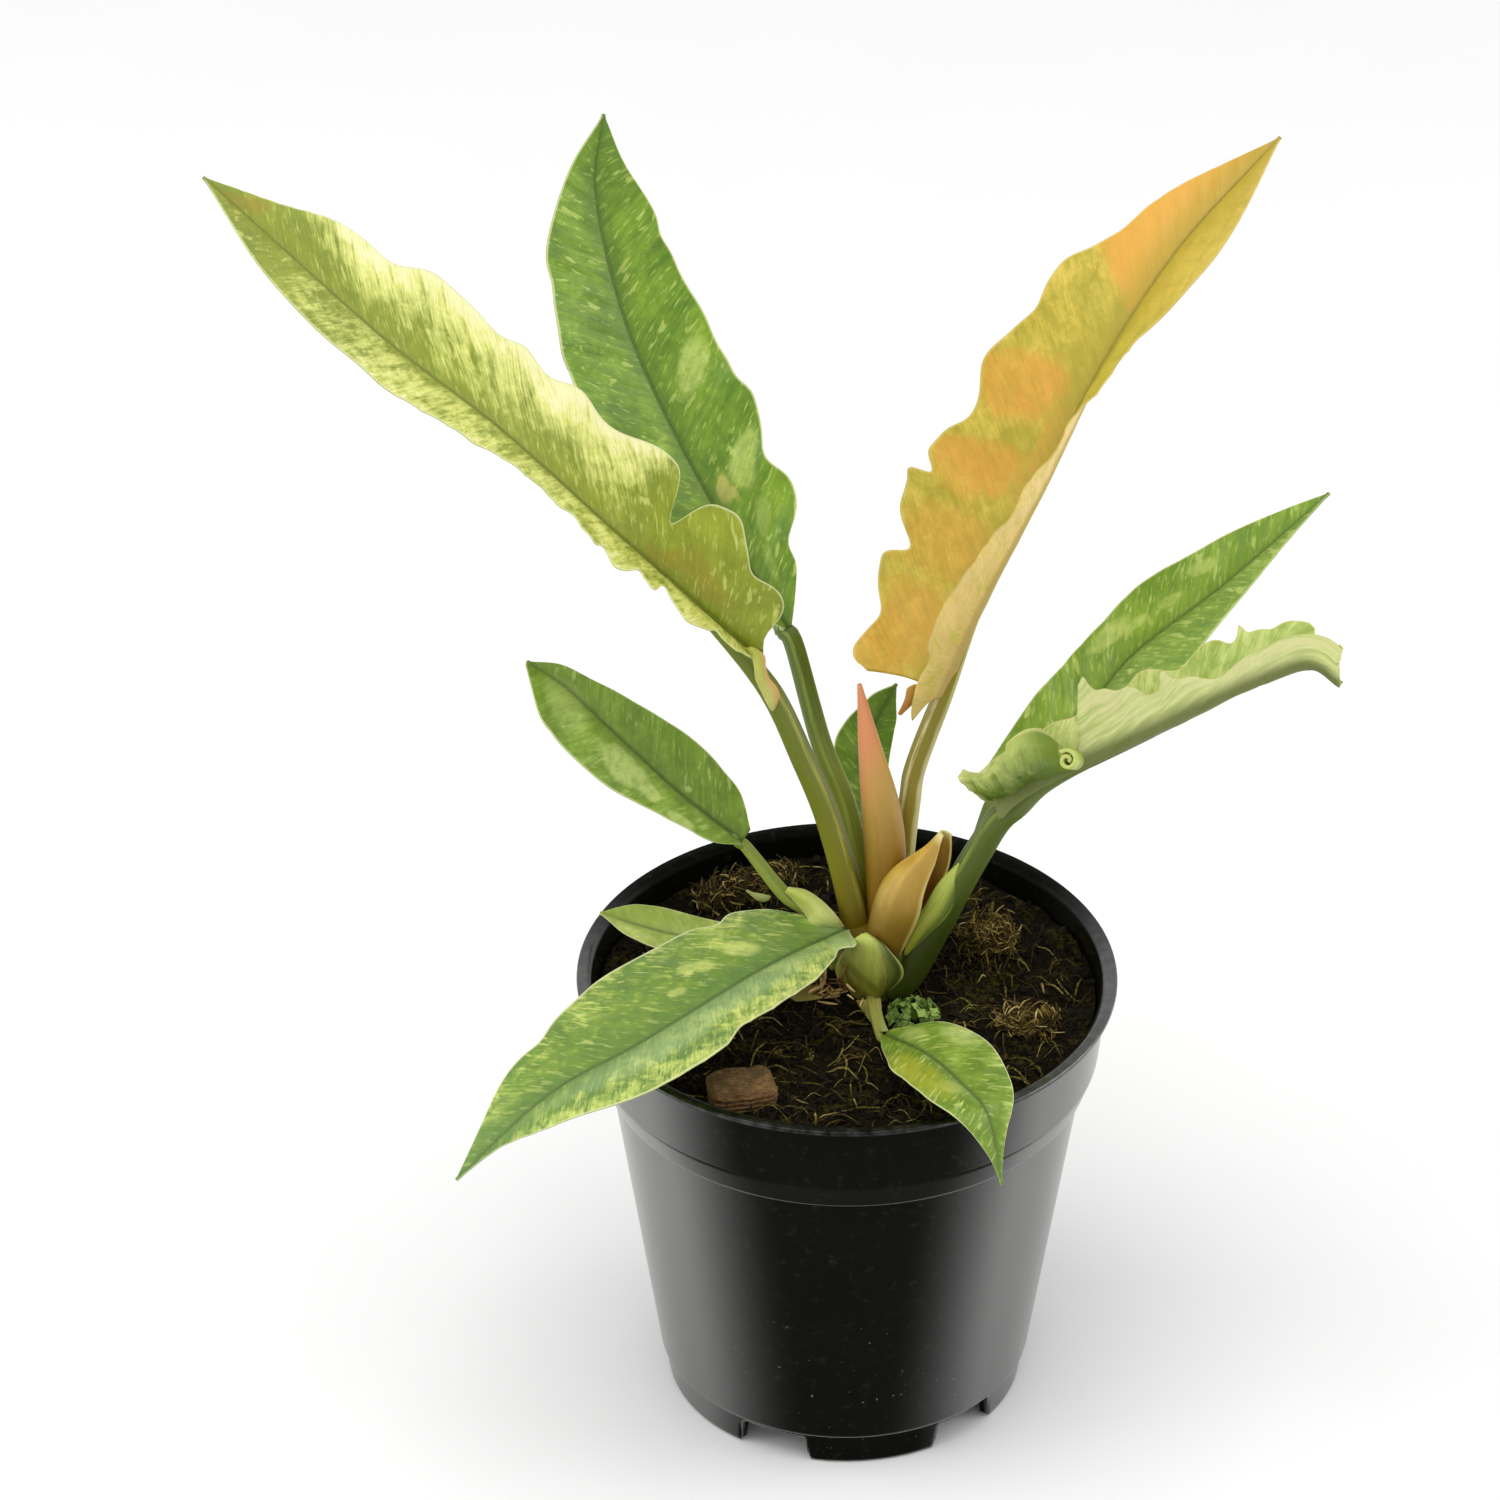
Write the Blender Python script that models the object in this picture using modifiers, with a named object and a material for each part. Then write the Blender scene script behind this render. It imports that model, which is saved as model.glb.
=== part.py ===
"""Ring of fire philodendron in a black nursery pot: ten leaves on stalks round a short stem."""
import bpy
import bmesh
import numpy as np
from math import cos, pi, radians, sin, tau
from mathutils import Matrix, Vector

MM = 0.001
GAP = 0.35  # clear space between neighbouring pieces, in mm like every size below
SOIL_GAP = 0.6  # between the soil and the pot's sloping wall
STEM_GAP = 0.46  # between the soil and the stem
SEAT_GAP = 0.63  # round each loose thing in its seat, at the lump's corners
BLADE_GAP = 0.77  # between a stalk's end and its blade
UNDER_GAP = 1.4  # the same where the stalk comes from under the blade

# The pot stands off the origin, so that the whole leaning plant's box is centred on it.
POT_X = 14.3
POT_Y = 2.2

# Nursery pot: a tapered wall, a flat rim over a band that is creased and turns in, and a foot ring.
POT_HEIGHT = 106.0
RIM_RADIUS = 60.0
RIM_WIDTH = 2.2
RIM_THICKNESS = 1.2
RIM_ROUNDING = 0.3
BAND_TOP_RADIUS = 58.0
CREASE_HEIGHT = 88.0
CREASE_RADIUS = 56.2
BAND_FOOT = 81.6
BAND_FOOT_RADIUS = 53.9
WALL_TOP_RADIUS = 52.8
WALL_FOOT_RADIUS = 41.8
FOOT_RADIUS = 40.0
FOOT_HEIGHT = 8.0
FOOT_WALL = 2.2
WALL = 1.6
FLOOR = 2.0
POT_SIDES = 48
NOTCH_BEARINGS = (-24, 42, 112, 180, 248)  # degrees from the front, to the right positive
NOTCH_WIDTH = 16.0
NOTCH_HEIGHT = 6.5
NOTCH_REACH = 12.0
DRAIN_RADIUS = 4.0
DRAIN_CIRCLE = 28.0

# Soil, filled to a little below the rim, and the short stem that every stalk grows from.
SOIL_BELOW_RIM = 5.7
SOIL_SWELL = 1.2
SOIL_DIP = 1.0
SOIL_RINGS = 7
SOIL_SIDES = 36
STEM_X = 8.0
STEM_Y = 7.0
STEM_SIDES = 16
# The stem's rings: height, centre x and y, radius.
STEM_RINGS = (
    (95.0, 8.0, 5.0, 5.0),
    (96.5, 8.0, 5.0, 7.0),
    (101.0, 7.5, 5.0, 8.0),
    (106.0, 7.5, 5.5, 9.4),
    (110.0, 8.0, 6.5, 10.3),
    (113.5, 8.0, 7.5, 10.1),
    (115.5, 8.0, 8.0, 8.4),
)
SOCKET_FLOOR = 109.5

BLADE_THICKNESS = 0.7
TIP_HALF_WIDTH = 0.6
RIB_FADE = 0.07  # share of the rib's length over which its thick foot thins out
HALF_COLUMNS = (0.12, 0.42, 0.72, 1.0)

# Each leaf, in mm from the pot's axis and the ground. rib: points along the midrib from the stalk
# to the tip. faces: where the upper side looks, as bearing (0 is -Y, 90 is +X) and degrees above
# the horizontal. For each half, left and right as seen on the upper side with the tip away, width:
# at even steps from stalk to tip; fold: rise at the rib, and curl: further bend up to the margin,
# in degrees; sweep: how far the margin runs ahead, as a share of the width; lobes: place as a
# share of the rib, height in mm, below nought for a notch, and reach. waves of the margin: number,
# lift in mm, and start as a share of a turn. stalk: points from its foot up. radii: the stalk's, at
# its foot and at the blade. joint: under, where the stalk meets the blade from below.
LEAVES = {
    "leaf_left_long": dict(
        colour=(0.60, 0.66, 0.22), rows=34, radii=(2.8, 2.2),
        rib=((-22, 9, 186), (-52, 7, 219), (-75, 3, 246), (-99, 0, 270), (-135, -4, 311)),
        faces=((82, 45), (84, 45)),
        left=dict(width=(3, 11, 13, 14.5, 13, 14, 17.5, 20, 19, 15.5, 0), fold=(12, 5, 3, 3),
                  curl=(5,), sweep=(-0.5, 0, 0, 0, 0, 0),
                  lobes=((0.18, -5.5, 0.035), (0.37, -6.5, 0.04), (0.49, -2.5, 0.04),
                         (0.64, -2, 0.035))),
        right=dict(width=(6, 15.5, 20, 21.5, 23, 24, 25, 21, 16.5, 8, 0),
                   fold=(62, 50, 22, 12, 10, 10, 10), curl=(12,), sweep=(-0.5, 0, 0, 0, 0, 0),
                   lobes=((0.21, -9, 0.045), (0.42, -2, 0.03), (0.515, -4, 0.035), (0.69, -2, 0.035))),
        waves=(7, 0.9, 0.2),
        stalk=((1.5, 8, SOCKET_FLOOR), (1.6, 8, 118), (-4, 8.4, 141), (-9.5, 8.6, 157))),
    "leaf_tall_green": dict(
        colour=(0.20, 0.42, 0.06), rows=30, radii=(2.6, 2.1),
        rib=((-13, 24, 182), (-25, 34, 198), (-41, 47, 225), (-50, 54, 247), (-55, 58, 273),
             (-53, 60, 290)),
        faces=((40, 35), (35, 30), (30, 25)),
        left=dict(width=(4, 13, 18, 20, 21.5, 21, 20.5, 18, 16, 7.5, 0), fold=(8,), curl=(8,),
                  sweep=(-0.4, 0, 0, 0, 0, 0),
                  lobes=((0.16, -2.5, 0.035), (0.3, -2.5, 0.04), (0.57, -1.5, 0.035), (0.74, -1, 0.03))),
        right=dict(width=(2, 11.5, 18.5, 19, 20, 18, 16.5, 14.5, 12.2, 7, 0), fold=(8,), curl=(8,),
                   sweep=(-0.4, 0, 0, 0, 0, 0),
                   lobes=((0.13, -3, 0.03), (0.275, -3.5, 0.04), (0.43, -1.5, 0.03), (0.74, -1, 0.03))),
        waves=(6, 0.9, 0.0),
        stalk=((4, 14.5, SOCKET_FLOOR), (3.6, 14.5, 118), (-0.3, 15.5, 140), (-6, 18, 156))),
    "leaf_orange": dict(
        colour=(0.85, 0.50, 0.13), rows=32, radii=(2.7, 2.1),
        rib=((19.4, 18, 169), (28.3, 19, 191), (41.2, 20, 220), (53.2, 21, 249), (69.3, 21, 279),
             (90, 20, 307)),
        faces=((-80, 35),),
        left=dict(width=(20, 25, 29, 28.5, 24.5, 24, 21, 15.6, 11.4, 5.8, 0), fold=(35, 35, 30),
                  curl=(10,), sweep=(-0.4, 0, 0, 0, 0, 0),
                  lobes=((0.02, 3, 0.02), (0.075, -3, 0.025), (0.15, -6.5, 0.03), (0.26, -3.5, 0.025),
                         (0.37, -2.5, 0.035), (0.46, 1, 0.04), (0.57, -2, 0.03), (0.65, 2.5, 0.035),
                         (0.74, -1, 0.03))),
        right=dict(width=(7, 16.5, 21.5, 22.5, 20, 17.5, 15, 15, 21.5, 17.5, 0),
                   fold=(35, 38, 30, 20, 5, 5, 5), curl=(10,), sweep=(-0.8, 0, 0, 0, 0, 0),
                   lobes=((0.105, -4.5, 0.025), (0.205, -2.5, 0.025), (0.3, -4.5, 0.03),
                          (0.45, -3, 0.03), (0.6, -3, 0.03))),
        waves=(8, 0.7, 0.0),
        stalk=((11, 15, SOCKET_FLOOR), (11.6, 15, 118), (13.7, 15.8, 141), (15.6, 17, 152))),
    "leaf_right_green": dict(
        colour=(0.25, 0.48, 0.08), rows=22, radii=(2.4, 1.8),
        rib=((34, 20, 142), (50, 26, 155), (63, 30, 171), (83, 34, 187), (105, 36, 209)),
        faces=((-66, 50),),
        left=dict(width=(6, 9.5, 13, 12, 12, 12.7, 12.5, 10.8, 7.8, 4.2, 0), fold=(10,), curl=(10,),
                  sweep=(-0.3, 0, 0, 0, 0, 0)),
        right=dict(width=(4, 12, 17, 19.5, 22.8, 20, 15.7, 10.8, 6.4, 3, 0), fold=(10,), curl=(10,),
                   sweep=(-0.3, 0, 0, 0, 0, 0)),
        waves=(4, 0.4, 0.0),
        stalk=((16, 9.5, SOCKET_FLOOR), (17.5, 10, 117), (24, 14, 129))),
    "leaf_right_curled": dict(
        colour=(0.62, 0.70, 0.40), rows=30, radii=(3.4, 2.9),
        rib=((32.8, 0, 153), (49.6, -2, 162.9), (63.6, -4, 171.9), (73.6, -6, 178.9), (87.6, -8, 187.8),
             (98.8, -10, 193.5), (105.5, -12, 190)),
        faces=((-90, 60), (-90, 65)),
        left=dict(width=(6, 9, 10, 11, 12, 12, 11.7, 12.3, 11, 9.5, 1), fold=(45,), curl=(10,),
                  sweep=(-0.8, -0.2, 0, 0, 0, 0.4), lobes=((0.69, 1.0, 0.03),)),
        right=dict(width=(7, 14, 16.5, 17.5, 21.5, 17, 12, 7, 4, 2.5, 0), fold=(78,), curl=(5,),
                   sweep=(-0.7, -0.2, 0, 0, 0, 0),
                   lobes=((0.29, -8.5, 0.045), (0.57, -4, 0.035))),
        waves=(6, 1.0, 0.0),
        stalk=((14.7, 0, SOCKET_FLOOR), (17.4, -0.2, 114), (22.8, 0, 123.6), (28.2, 0, 134),
               (31.5, 0, 142))),
    "leaf_left_small": dict(
        colour=(0.30, 0.50, 0.12), rows=18, radii=(2.0, 1.2),
        rib=((-23, 14, 132), (-37, 14, 145), (-54, 14, 164), (-62, 14, 173), (-70, 13, 180)),
        faces=((35, 50),),
        left=dict(width=(1, 5, 6.2, 7.6, 9.6, 11.3, 12, 12.3, 11.7, 9.8, 1), fold=(0,), curl=(5,)),
        right=dict(width=(3, 8.4, 10.1, 10.9, 10.9, 9.6, 8.1, 6.8, 4.8, 3.2, 0), fold=(14,), curl=(12,)),
        waves=(3, 0.3, 0.0),
        stalk=((-1.4, 6.2, 104), (-5.2, 8.4, 110.5), (-8.4, 9.2, 116.5), (-14, 10.8, 120))),
    "leaf_front_left": dict(
        colour=(0.36, 0.55, 0.14), rows=26, radii=(1.9, 1.6),
        rib=((0, 0, 116), (-19, -16, 119), (-45, -40, 116), (-65, -54, 112), (-85, -66, 98)),
        faces=((-20, 75), (-30, 75), (-40, 65)),
        left=dict(width=(2.5, 7.6, 12, 15.4, 16, 18.8, 18.2, 15.8, 10, 2.5, 0), fold=(18,), curl=(-5,),
                  lobes=((0.4, -1.5, 0.04),)),
        right=dict(width=(3, 18, 20.5, 22.2, 22.3, 23, 20, 15.3, 12, 6, 0), fold=(-2,), curl=(-5,),
                   lobes=((0.045, -4, 0.03), (0.2, -2, 0.035), (0.7, -0.8, 0.03))),
        waves=(4, 0.5, 0.0),
        stalk=((3.6, 0, 103), (2.2, -2.2, 106.5)), joint="under"),
    "leaf_low_left": dict(
        colour=(0.48, 0.60, 0.24), rows=12, radii=(1.3, 1.0),
        rib=((-24, 10, 107), (-41, 13.5, 108), (-55, 16.5, 111)),
        faces=((0, 75),),
        left=dict(width=(2, 5, 7, 6.7, 6.2, 6, 5.8, 5, 4, 2, 0), fold=(8,), curl=(5,)),
        right=dict(width=(2, 4.5, 5, 5.2, 5.4, 5.8, 6, 5.5, 4.5, 2.5, 0), fold=(8,), curl=(5,)),
        waves=(2, 0.2, 0.0),
        stalk=((1, 11.5, 105), (-6, 12, 107))),
    "leaf_front_small": dict(
        colour=(0.30, 0.52, 0.12), rows=16, radii=(1.4, 1.1),
        rib=((8, -20, 104), (17, -33, 108), (25, -48, 110), (30, -58, 109), (33, -64, 95)),
        faces=((20, 75), (20, 70), (25, 45)),
        left=dict(width=(2, 8.4, 11.1, 12.3, 12, 11.1, 9.6, 7.2, 3.4, 1.3, 0), fold=(8,), curl=(-10,)),
        right=dict(width=(1, 5, 7.8, 10.2, 9.9, 9.8, 9.3, 7.5, 4.4, 1.6, 0), fold=(8,), curl=(-10,)),
        waves=(3, 0.3, 0.0),
        stalk=((8.6, -0.5, 102), (8, -7, 103))),
    "leaf_back_small": dict(
        colour=(0.28, 0.50, 0.10), rows=14, radii=(1.6, 1.2),
        rib=((5, 30, 123), (4, 33, 136), (6, 35, 148), (11, 36, 159)),
        faces=((10, 20),),
        left=dict(width=(2, 5, 6.2, 6.6, 7.4, 7.8, 8.1, 6.9, 5, 3.5, 0), fold=(8,), curl=(5,)),
        right=dict(width=(2, 3.8, 4.4, 5, 5.1, 5.1, 5, 4.6, 3.8, 1.8, 0), fold=(8,), curl=(5,)),
        waves=(2, 0.2, 0.0),
        stalk=((8, 16, 105.5), (8, 21, 108), (6, 27, 114))),
}

# Rolled new leaf and the leftover sheath round it: points from the foot up, and radii along them.
SPIKES = {
    "new_leaf_spike": dict(
        colour=(0.86, 0.50, 0.33),
        points=((8.5, 8.5, SOCKET_FLOOR), (8.4, 8.8, 122), (7.0, 9.3, 140), (4.2, 10, 160), (2.4, 10, 176)),
        radii=(3.3, 3.8, 3.6, 2.2, 0.6)),
    "sheath_orange": dict(
        colour=(0.80, 0.52, 0.20),
        points=((8.2, 1.9, SOCKET_FLOOR), (10.8, 0.6, 119), (16, 1.5, 129), (20, 2.5, 135.5),
                (22.4, 3, 140.5)),
        radii=(2.3, 4.2, 4.4, 3.2, 1.1)),
}

# The pale wing along one side of the curled leaf's stalk, which it grows from.
STALK_WING = dict(
    stalk="leaf_right_curled",
    points=((16.2, 0.8, 116.5), (18.2, 0.8, 120.4), (20.7, 0.8, 124.9), (23.3, 0.6, 130),
            (25.6, 0.3, 134.6)),
    radii=(0.8, 1.3, 1.4, 1.3, 0.7))

# Loose things on the soil: centre x and y in mm, size along x, y and z, and a turn in degrees.
CHIP = dict(centre=(-23.5, -38), size=(14, 11, 5.5), turn=12)
MOSS_CLUMPS = (
    dict(centre=(32, 18), size=(13, 11, 8)),
    dict(centre=(40, -13), size=(14, 7, 5)),
    dict(centre=(-22, 38.5), size=(28, 9.5, 6.5), turn=25),
)
SEAT_DEPTH = 1.6

# A small weed: leaflets spread round a core that sits half in the soil.
TUFT_CENTRE = (14.8, -9.0)
TUFT_CORE_RADIUS = 1.8
TUFT_LEAFLETS = 8
LEAFLET_SIZE = (5.0, 2.8, 1.0)
TUFT_SEED = 4


def clear_scene():
    for item in list(bpy.data.objects):
        bpy.data.objects.remove(item, do_unlink=True)


def make_collections():
    """The parts' collection, and one for the solids that cut sockets and notches."""
    parts = bpy.data.collections.new("philodendron_in_pot")
    cutters = bpy.data.collections.new("cutters")
    for collection in (parts, cutters):
        bpy.context.scene.collection.children.link(collection)
    return parts, cutters


def make_material(name, colour, roughness):
    material = bpy.data.materials.new(name)
    material.use_nodes = True
    shader = material.node_tree.nodes["Principled BSDF"]
    shader.inputs["Base Color"].default_value = (*colour, 1.0)
    shader.inputs["Roughness"].default_value = roughness
    return material


def add_mesh_object(name, bm, collection, material=None):
    """A new object from bm, with its faces turned outwards."""
    bmesh.ops.recalc_face_normals(bm, faces=bm.faces)
    mesh = bpy.data.meshes.new(name)
    bm.to_mesh(mesh)
    bm.free()
    return place_mesh(name, mesh, collection, material)


def place_mesh(name, mesh, collection, material=None):
    item = bpy.data.objects.new(name, mesh)
    if material:
        mesh.materials.append(material)
    mesh.shade_smooth()
    mesh.set_sharp_from_angle(angle=radians(40))
    collection.objects.link(item)
    return item


def mark_cutter(item):
    item.hide_render = True
    item.display_type = "WIRE"


def combine(item, other, operation):
    modifier = item.modifiers.new(operation.lower(), "BOOLEAN")
    modifier.operation = operation
    modifier.solver = "EXACT"
    modifier.object = other


def world(points):
    """Millimetres from the pot's axis to metres from the origin."""
    return (np.asarray(points, float) + np.array([POT_X, POT_Y, 0.0])) * MM


def along(values, shares):
    """A smooth curve through evenly spaced values, read at shares of its length from 0 to 1."""
    rows = np.asarray(values, float).reshape(len(values), -1)
    if len(rows) == 1:
        return np.repeat(rows, len(shares), axis=0)
    ends = np.vstack([2 * rows[0] - rows[1], rows, 2 * rows[-1] - rows[-2]])
    place = np.asarray(shares) * (len(rows) - 1)
    start = np.minimum(place.astype(int), len(rows) - 2)
    step = (place - start)[:, None]
    before, here, after, last = (ends[start + shift] for shift in range(4))
    return 0.5 * (2 * here + (after - before) * step
                  + (2 * before - 5 * here + 4 * after - last) * step ** 2
                  + (3 * here - before - 3 * after + last) * step ** 3)


def even_path(points, shares):
    """Points at shares of the true length of the smooth curve through the given points."""
    fine = along(points, np.linspace(0, 1, 400))
    runs = np.concatenate([[0], np.cumsum(np.linalg.norm(np.diff(fine, axis=0), axis=1))])
    wanted = np.asarray(shares) * runs[-1]
    return np.stack([np.interp(wanted, runs, fine[:, axis]) for axis in range(3)], axis=1)


def unit(vectors):
    return vectors / np.linalg.norm(vectors, axis=-1, keepdims=True)


def leaf_frames(leaf, shares):
    """Rib points, and the directions ahead, to the right and up out of the upper side."""
    rib = even_path(leaf["rib"], shares)
    ahead = unit(np.gradient(rib, axis=0))
    bearing, height = np.radians(np.array(leaf["faces"], float)).T
    looks = np.stack([np.sin(bearing) * np.cos(height), -np.cos(bearing) * np.cos(height),
                      np.sin(height)], axis=1)
    aside = unit(np.cross(ahead, along(looks, shares)))
    return rib, ahead, aside, np.cross(aside, ahead)


def half_width(half, shares):
    """Width of a half at shares of the rib: a smooth outline with lobes and notches added."""
    width = along(half["width"], shares)[:, 0]
    for place, height, reach in half.get("lobes", ()):
        width = width + height * np.exp(-((shares - place) / reach) ** 2)
    return np.maximum(width, TIP_HALF_WIDTH)


def leaf_half(leaf, side, shares, across):
    """Points of one half: each row is an arc that leaves the rib at fold and bends by curl, and the
    margin rises and falls in waves."""
    half = leaf["right" if side > 0 else "left"]
    rib, ahead, aside, up = leaf_frames(leaf, shares)
    number, lift, start = leaf["waves"]
    wave = lift * np.sin(tau * (number * (1 - shares) ** 1.3 + start + 0.25 * side))
    calm = np.sin(pi * np.clip(1.1 * shares, 0, 1))[:, None]
    width = half_width(half, shares)[:, None]
    fold = np.radians(along(half["fold"], shares))
    curl = np.radians(along(half["curl"], shares))
    curl = np.where(np.abs(curl) < 0.001, 0.001, curl)
    share = np.asarray(across)[None, :]
    out = width * (np.sin(fold + curl * share) - np.sin(fold)) / curl
    over = width * (np.cos(fold) - np.cos(fold + curl * share)) / curl
    over = over + wave[:, None] * calm * share ** 2
    run = along(half.get("sweep", (0,)), shares) * width * share ** 1.5
    return (rib[:, None] + side * out[..., None] * aside[:, None] + over[..., None] * up[:, None]
            + run[..., None] * ahead[:, None])


def stalk_route(leaf, count=9):
    """Points and radii from the stalk's foot to just short of the rib's cut end, where it turns to
    run along the rib, or, for a stalk that joins from under, to just below the rib."""
    rib, ahead, aside, up = (rows[0] for rows in leaf_frames(leaf, np.linspace(0, 1, 40)))
    radius = leaf["radii"][1]
    if leaf.get("joint") == "under":
        end = rib + ahead * radius - up * (BLADE_THICKNESS + 2 * radius + UNDER_GAP)
        knots = [*leaf["stalk"], end]
        shares = np.linspace(0, 1, count)
    else:
        end = rib - up * (radius + 0.5 * BLADE_THICKNESS) - ahead * BLADE_GAP
        knots = [*leaf["stalk"], end - ahead * 2 * radius, end]
        length = np.linalg.norm(np.diff(knots, axis=0), axis=1).sum()
        shares = np.append(np.linspace(0, 1 - 2 * radius / length, count - 1), 1.0)
    return even_path(knots, shares), along(leaf["radii"], shares)[:, 0]


def make_blade(name, leaf, parts):
    """The upper face as a grid bent by leaf_half, thickened downwards, most along the rib."""
    columns = [-share for share in reversed(HALF_COLUMNS)] + [0.0] + list(HALF_COLUMNS)
    rows = leaf["rows"]
    shares = np.linspace(0, 1, rows + 1)
    left = leaf_half(leaf, -1, shares, HALF_COLUMNS[::-1])
    right = leaf_half(leaf, 1, shares, HALF_COLUMNS)
    middle = leaf_frames(leaf, shares)[0][:, None]
    surface = world(np.concatenate([left, middle, right], axis=1))

    bm = bmesh.new()
    half = 0.5
    bmesh.ops.create_grid(bm, x_segments=len(columns) - 1, y_segments=rows, size=half)
    bm.verts.ensure_lookup_table()
    spots = [(round((vert.co.y + half) * rows), round((vert.co.x + half) * (len(columns) - 1)))
             for vert in bm.verts]
    for vert, (row, column) in zip(bm.verts, spots):
        vert.co = surface[row, column]
    bmesh.ops.triangulate(bm, faces=bm.faces, quad_method="FIXED")
    mesh = bpy.data.meshes.new(name)
    bm.to_mesh(mesh)
    bm.free()

    material = make_material(name, leaf["colour"], 0.45)
    item = place_mesh(name, mesh, parts, material)
    group = item.vertex_groups.new(name="rib")
    for index, (row, column) in enumerate(spots):
        near_rib = max(0.0, 1 - abs(columns[column]) / (2 * HALF_COLUMNS[0]))
        lasting = 0.2 * (1 - shares[row]) + 0.8 * np.exp(-shares[row] / RIB_FADE)
        group.add([index], near_rib * lasting, "REPLACE")
    rib_thickness = BLADE_THICKNESS + 2 * leaf["radii"][1]
    solidify = item.modifiers.new("thickness", "SOLIDIFY")
    solidify.thickness = rib_thickness * MM
    solidify.offset = -1
    solidify.vertex_group = group.name
    solidify.thickness_vertex_group = BLADE_THICKNESS / rib_thickness
    split = item.modifiers.new("triangles", "TRIANGULATE")
    split.quad_method = "FIXED"


def make_tube(name, points, radii, collection, material=None, extra=0.0):
    """A round tapered tube through the points, as a curve with filled caps."""
    curve = bpy.data.curves.new(name, "CURVE")
    curve.dimensions = "3D"
    curve.bevel_depth = MM
    curve.bevel_resolution = 2
    curve.use_fill_caps = True
    spline = curve.splines.new("POLY")
    spline.points.add(len(points) - 1)
    for knot, place, radius in zip(spline.points, world(points), radii):
        knot.co = (*place, 1.0)
        knot.radius = radius + extra
    item = bpy.data.objects.new(name, curve)
    if material:
        curve.materials.append(material)
    collection.objects.link(item)
    return item


def mesh_tube(name, points, radii, collection, material=None, extra=0.0):
    """The same tube as a closed mesh, which can join or cut another."""
    curve_item = make_tube(name + "_curve", points, radii, collection, extra=extra)
    depsgraph = bpy.context.evaluated_depsgraph_get()
    mesh = bpy.data.meshes.new_from_object(curve_item.evaluated_get(depsgraph))
    bpy.data.objects.remove(curve_item, do_unlink=True)
    bm = bmesh.new()
    bm.from_mesh(mesh)
    bmesh.ops.remove_doubles(bm, verts=bm.verts, dist=0.01 * MM)
    return add_mesh_object(name, bm, collection, material)


def tube_cutter(name, points, radii, cutters):
    """A hidden tube a gap wider and longer than the one it makes room for."""
    points = np.array(points, float)
    points[0] -= GAP * unit(points[1] - points[0])
    cutter = mesh_tube(name, points, radii, cutters, extra=GAP)
    mark_cutter(cutter)
    return cutter


def make_stem(parts):
    """The short swollen stem: a loft through STEM_RINGS with domed ends."""
    return add_mesh_object("stem", ring_loft(STEM_RINGS, 0.0), parts,
                           make_material("stem_green", (0.50, 0.58, 0.18), 0.45))


def ring_loft(rings, extra):
    """A closed loft through rings of height, centre and radius, all grown by extra."""
    bm = bmesh.new()
    loops = []
    for index, (height, x, y, radius) in enumerate(rings):
        lift = extra if index == len(rings) - 1 else -extra if index == 0 else 0.0
        loops.append([bm.verts.new(world((x + (radius + extra) * cos(angle),
                                          y + (radius + extra) * sin(angle), height + lift)))
                      for angle in np.arange(STEM_SIDES) * tau / STEM_SIDES])
    for low, high in zip(loops, loops[1:]):
        for index in range(STEM_SIDES):
            following = (index + 1) % STEM_SIDES
            bm.faces.new((low[index], low[following], high[following], high[index]))
    bm.faces.new(reversed(loops[0]))
    top = bm.faces.new(loops[-1])
    bmesh.ops.poke(bm, faces=[top], offset=0.8 * MM)
    return bm


def inside_profile():
    """Radius and height in mm up the pot's inner wall, from the floor to the rim."""
    return (
        (WALL_FOOT_RADIUS - WALL, FOOT_HEIGHT + FLOOR),
        (WALL_TOP_RADIUS - WALL, BAND_FOOT),
        (CREASE_RADIUS - WALL, CREASE_HEIGHT + WALL),
        (BAND_TOP_RADIUS - WALL, POT_HEIGHT - RIM_THICKNESS),
        (RIM_RADIUS - RIM_WIDTH, POT_HEIGHT),
    )


def pot_profile():
    """The whole section: up the inside of the pot and down its outside."""
    return (
        (0.0, FOOT_HEIGHT + FLOOR),
        *inside_profile(),
        (RIM_RADIUS - RIM_ROUNDING, POT_HEIGHT),
        (RIM_RADIUS, POT_HEIGHT - RIM_ROUNDING),
        (RIM_RADIUS - RIM_ROUNDING, POT_HEIGHT - RIM_THICKNESS),
        (BAND_TOP_RADIUS, POT_HEIGHT - RIM_THICKNESS),
        (CREASE_RADIUS, CREASE_HEIGHT),
        (BAND_FOOT_RADIUS, BAND_FOOT),
        (WALL_TOP_RADIUS, BAND_FOOT),
        (WALL_FOOT_RADIUS, FOOT_HEIGHT),
        (FOOT_RADIUS + 0.6, FOOT_HEIGHT),
        (FOOT_RADIUS, 0.0),
        (FOOT_RADIUS - FOOT_WALL, 0.0),
        (FOOT_RADIUS - FOOT_WALL + 0.4, FOOT_HEIGHT),
        (0.0, FOOT_HEIGHT),
    )


def turned(name, profile, sides, parts, material):
    """A profile at +X turned round the pot's axis by a Screw modifier."""
    mesh = bpy.data.meshes.new(name)
    points = [(radius * MM, 0.0, height * MM) for radius, height in profile]
    mesh.from_pydata(points, [(index, index + 1) for index in range(len(points) - 1)], [])
    item = place_mesh(name, mesh, parts, material)
    item.location = (POT_X * MM, POT_Y * MM, 0.0)
    screw = item.modifiers.new("turn", "SCREW")
    screw.axis = "Z"
    screw.angle = tau
    screw.steps = sides
    screw.render_steps = sides
    screw.use_merge_vertices = True
    screw.merge_threshold = 0.01 * MM
    screw.use_normal_calculate = True
    return item


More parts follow.
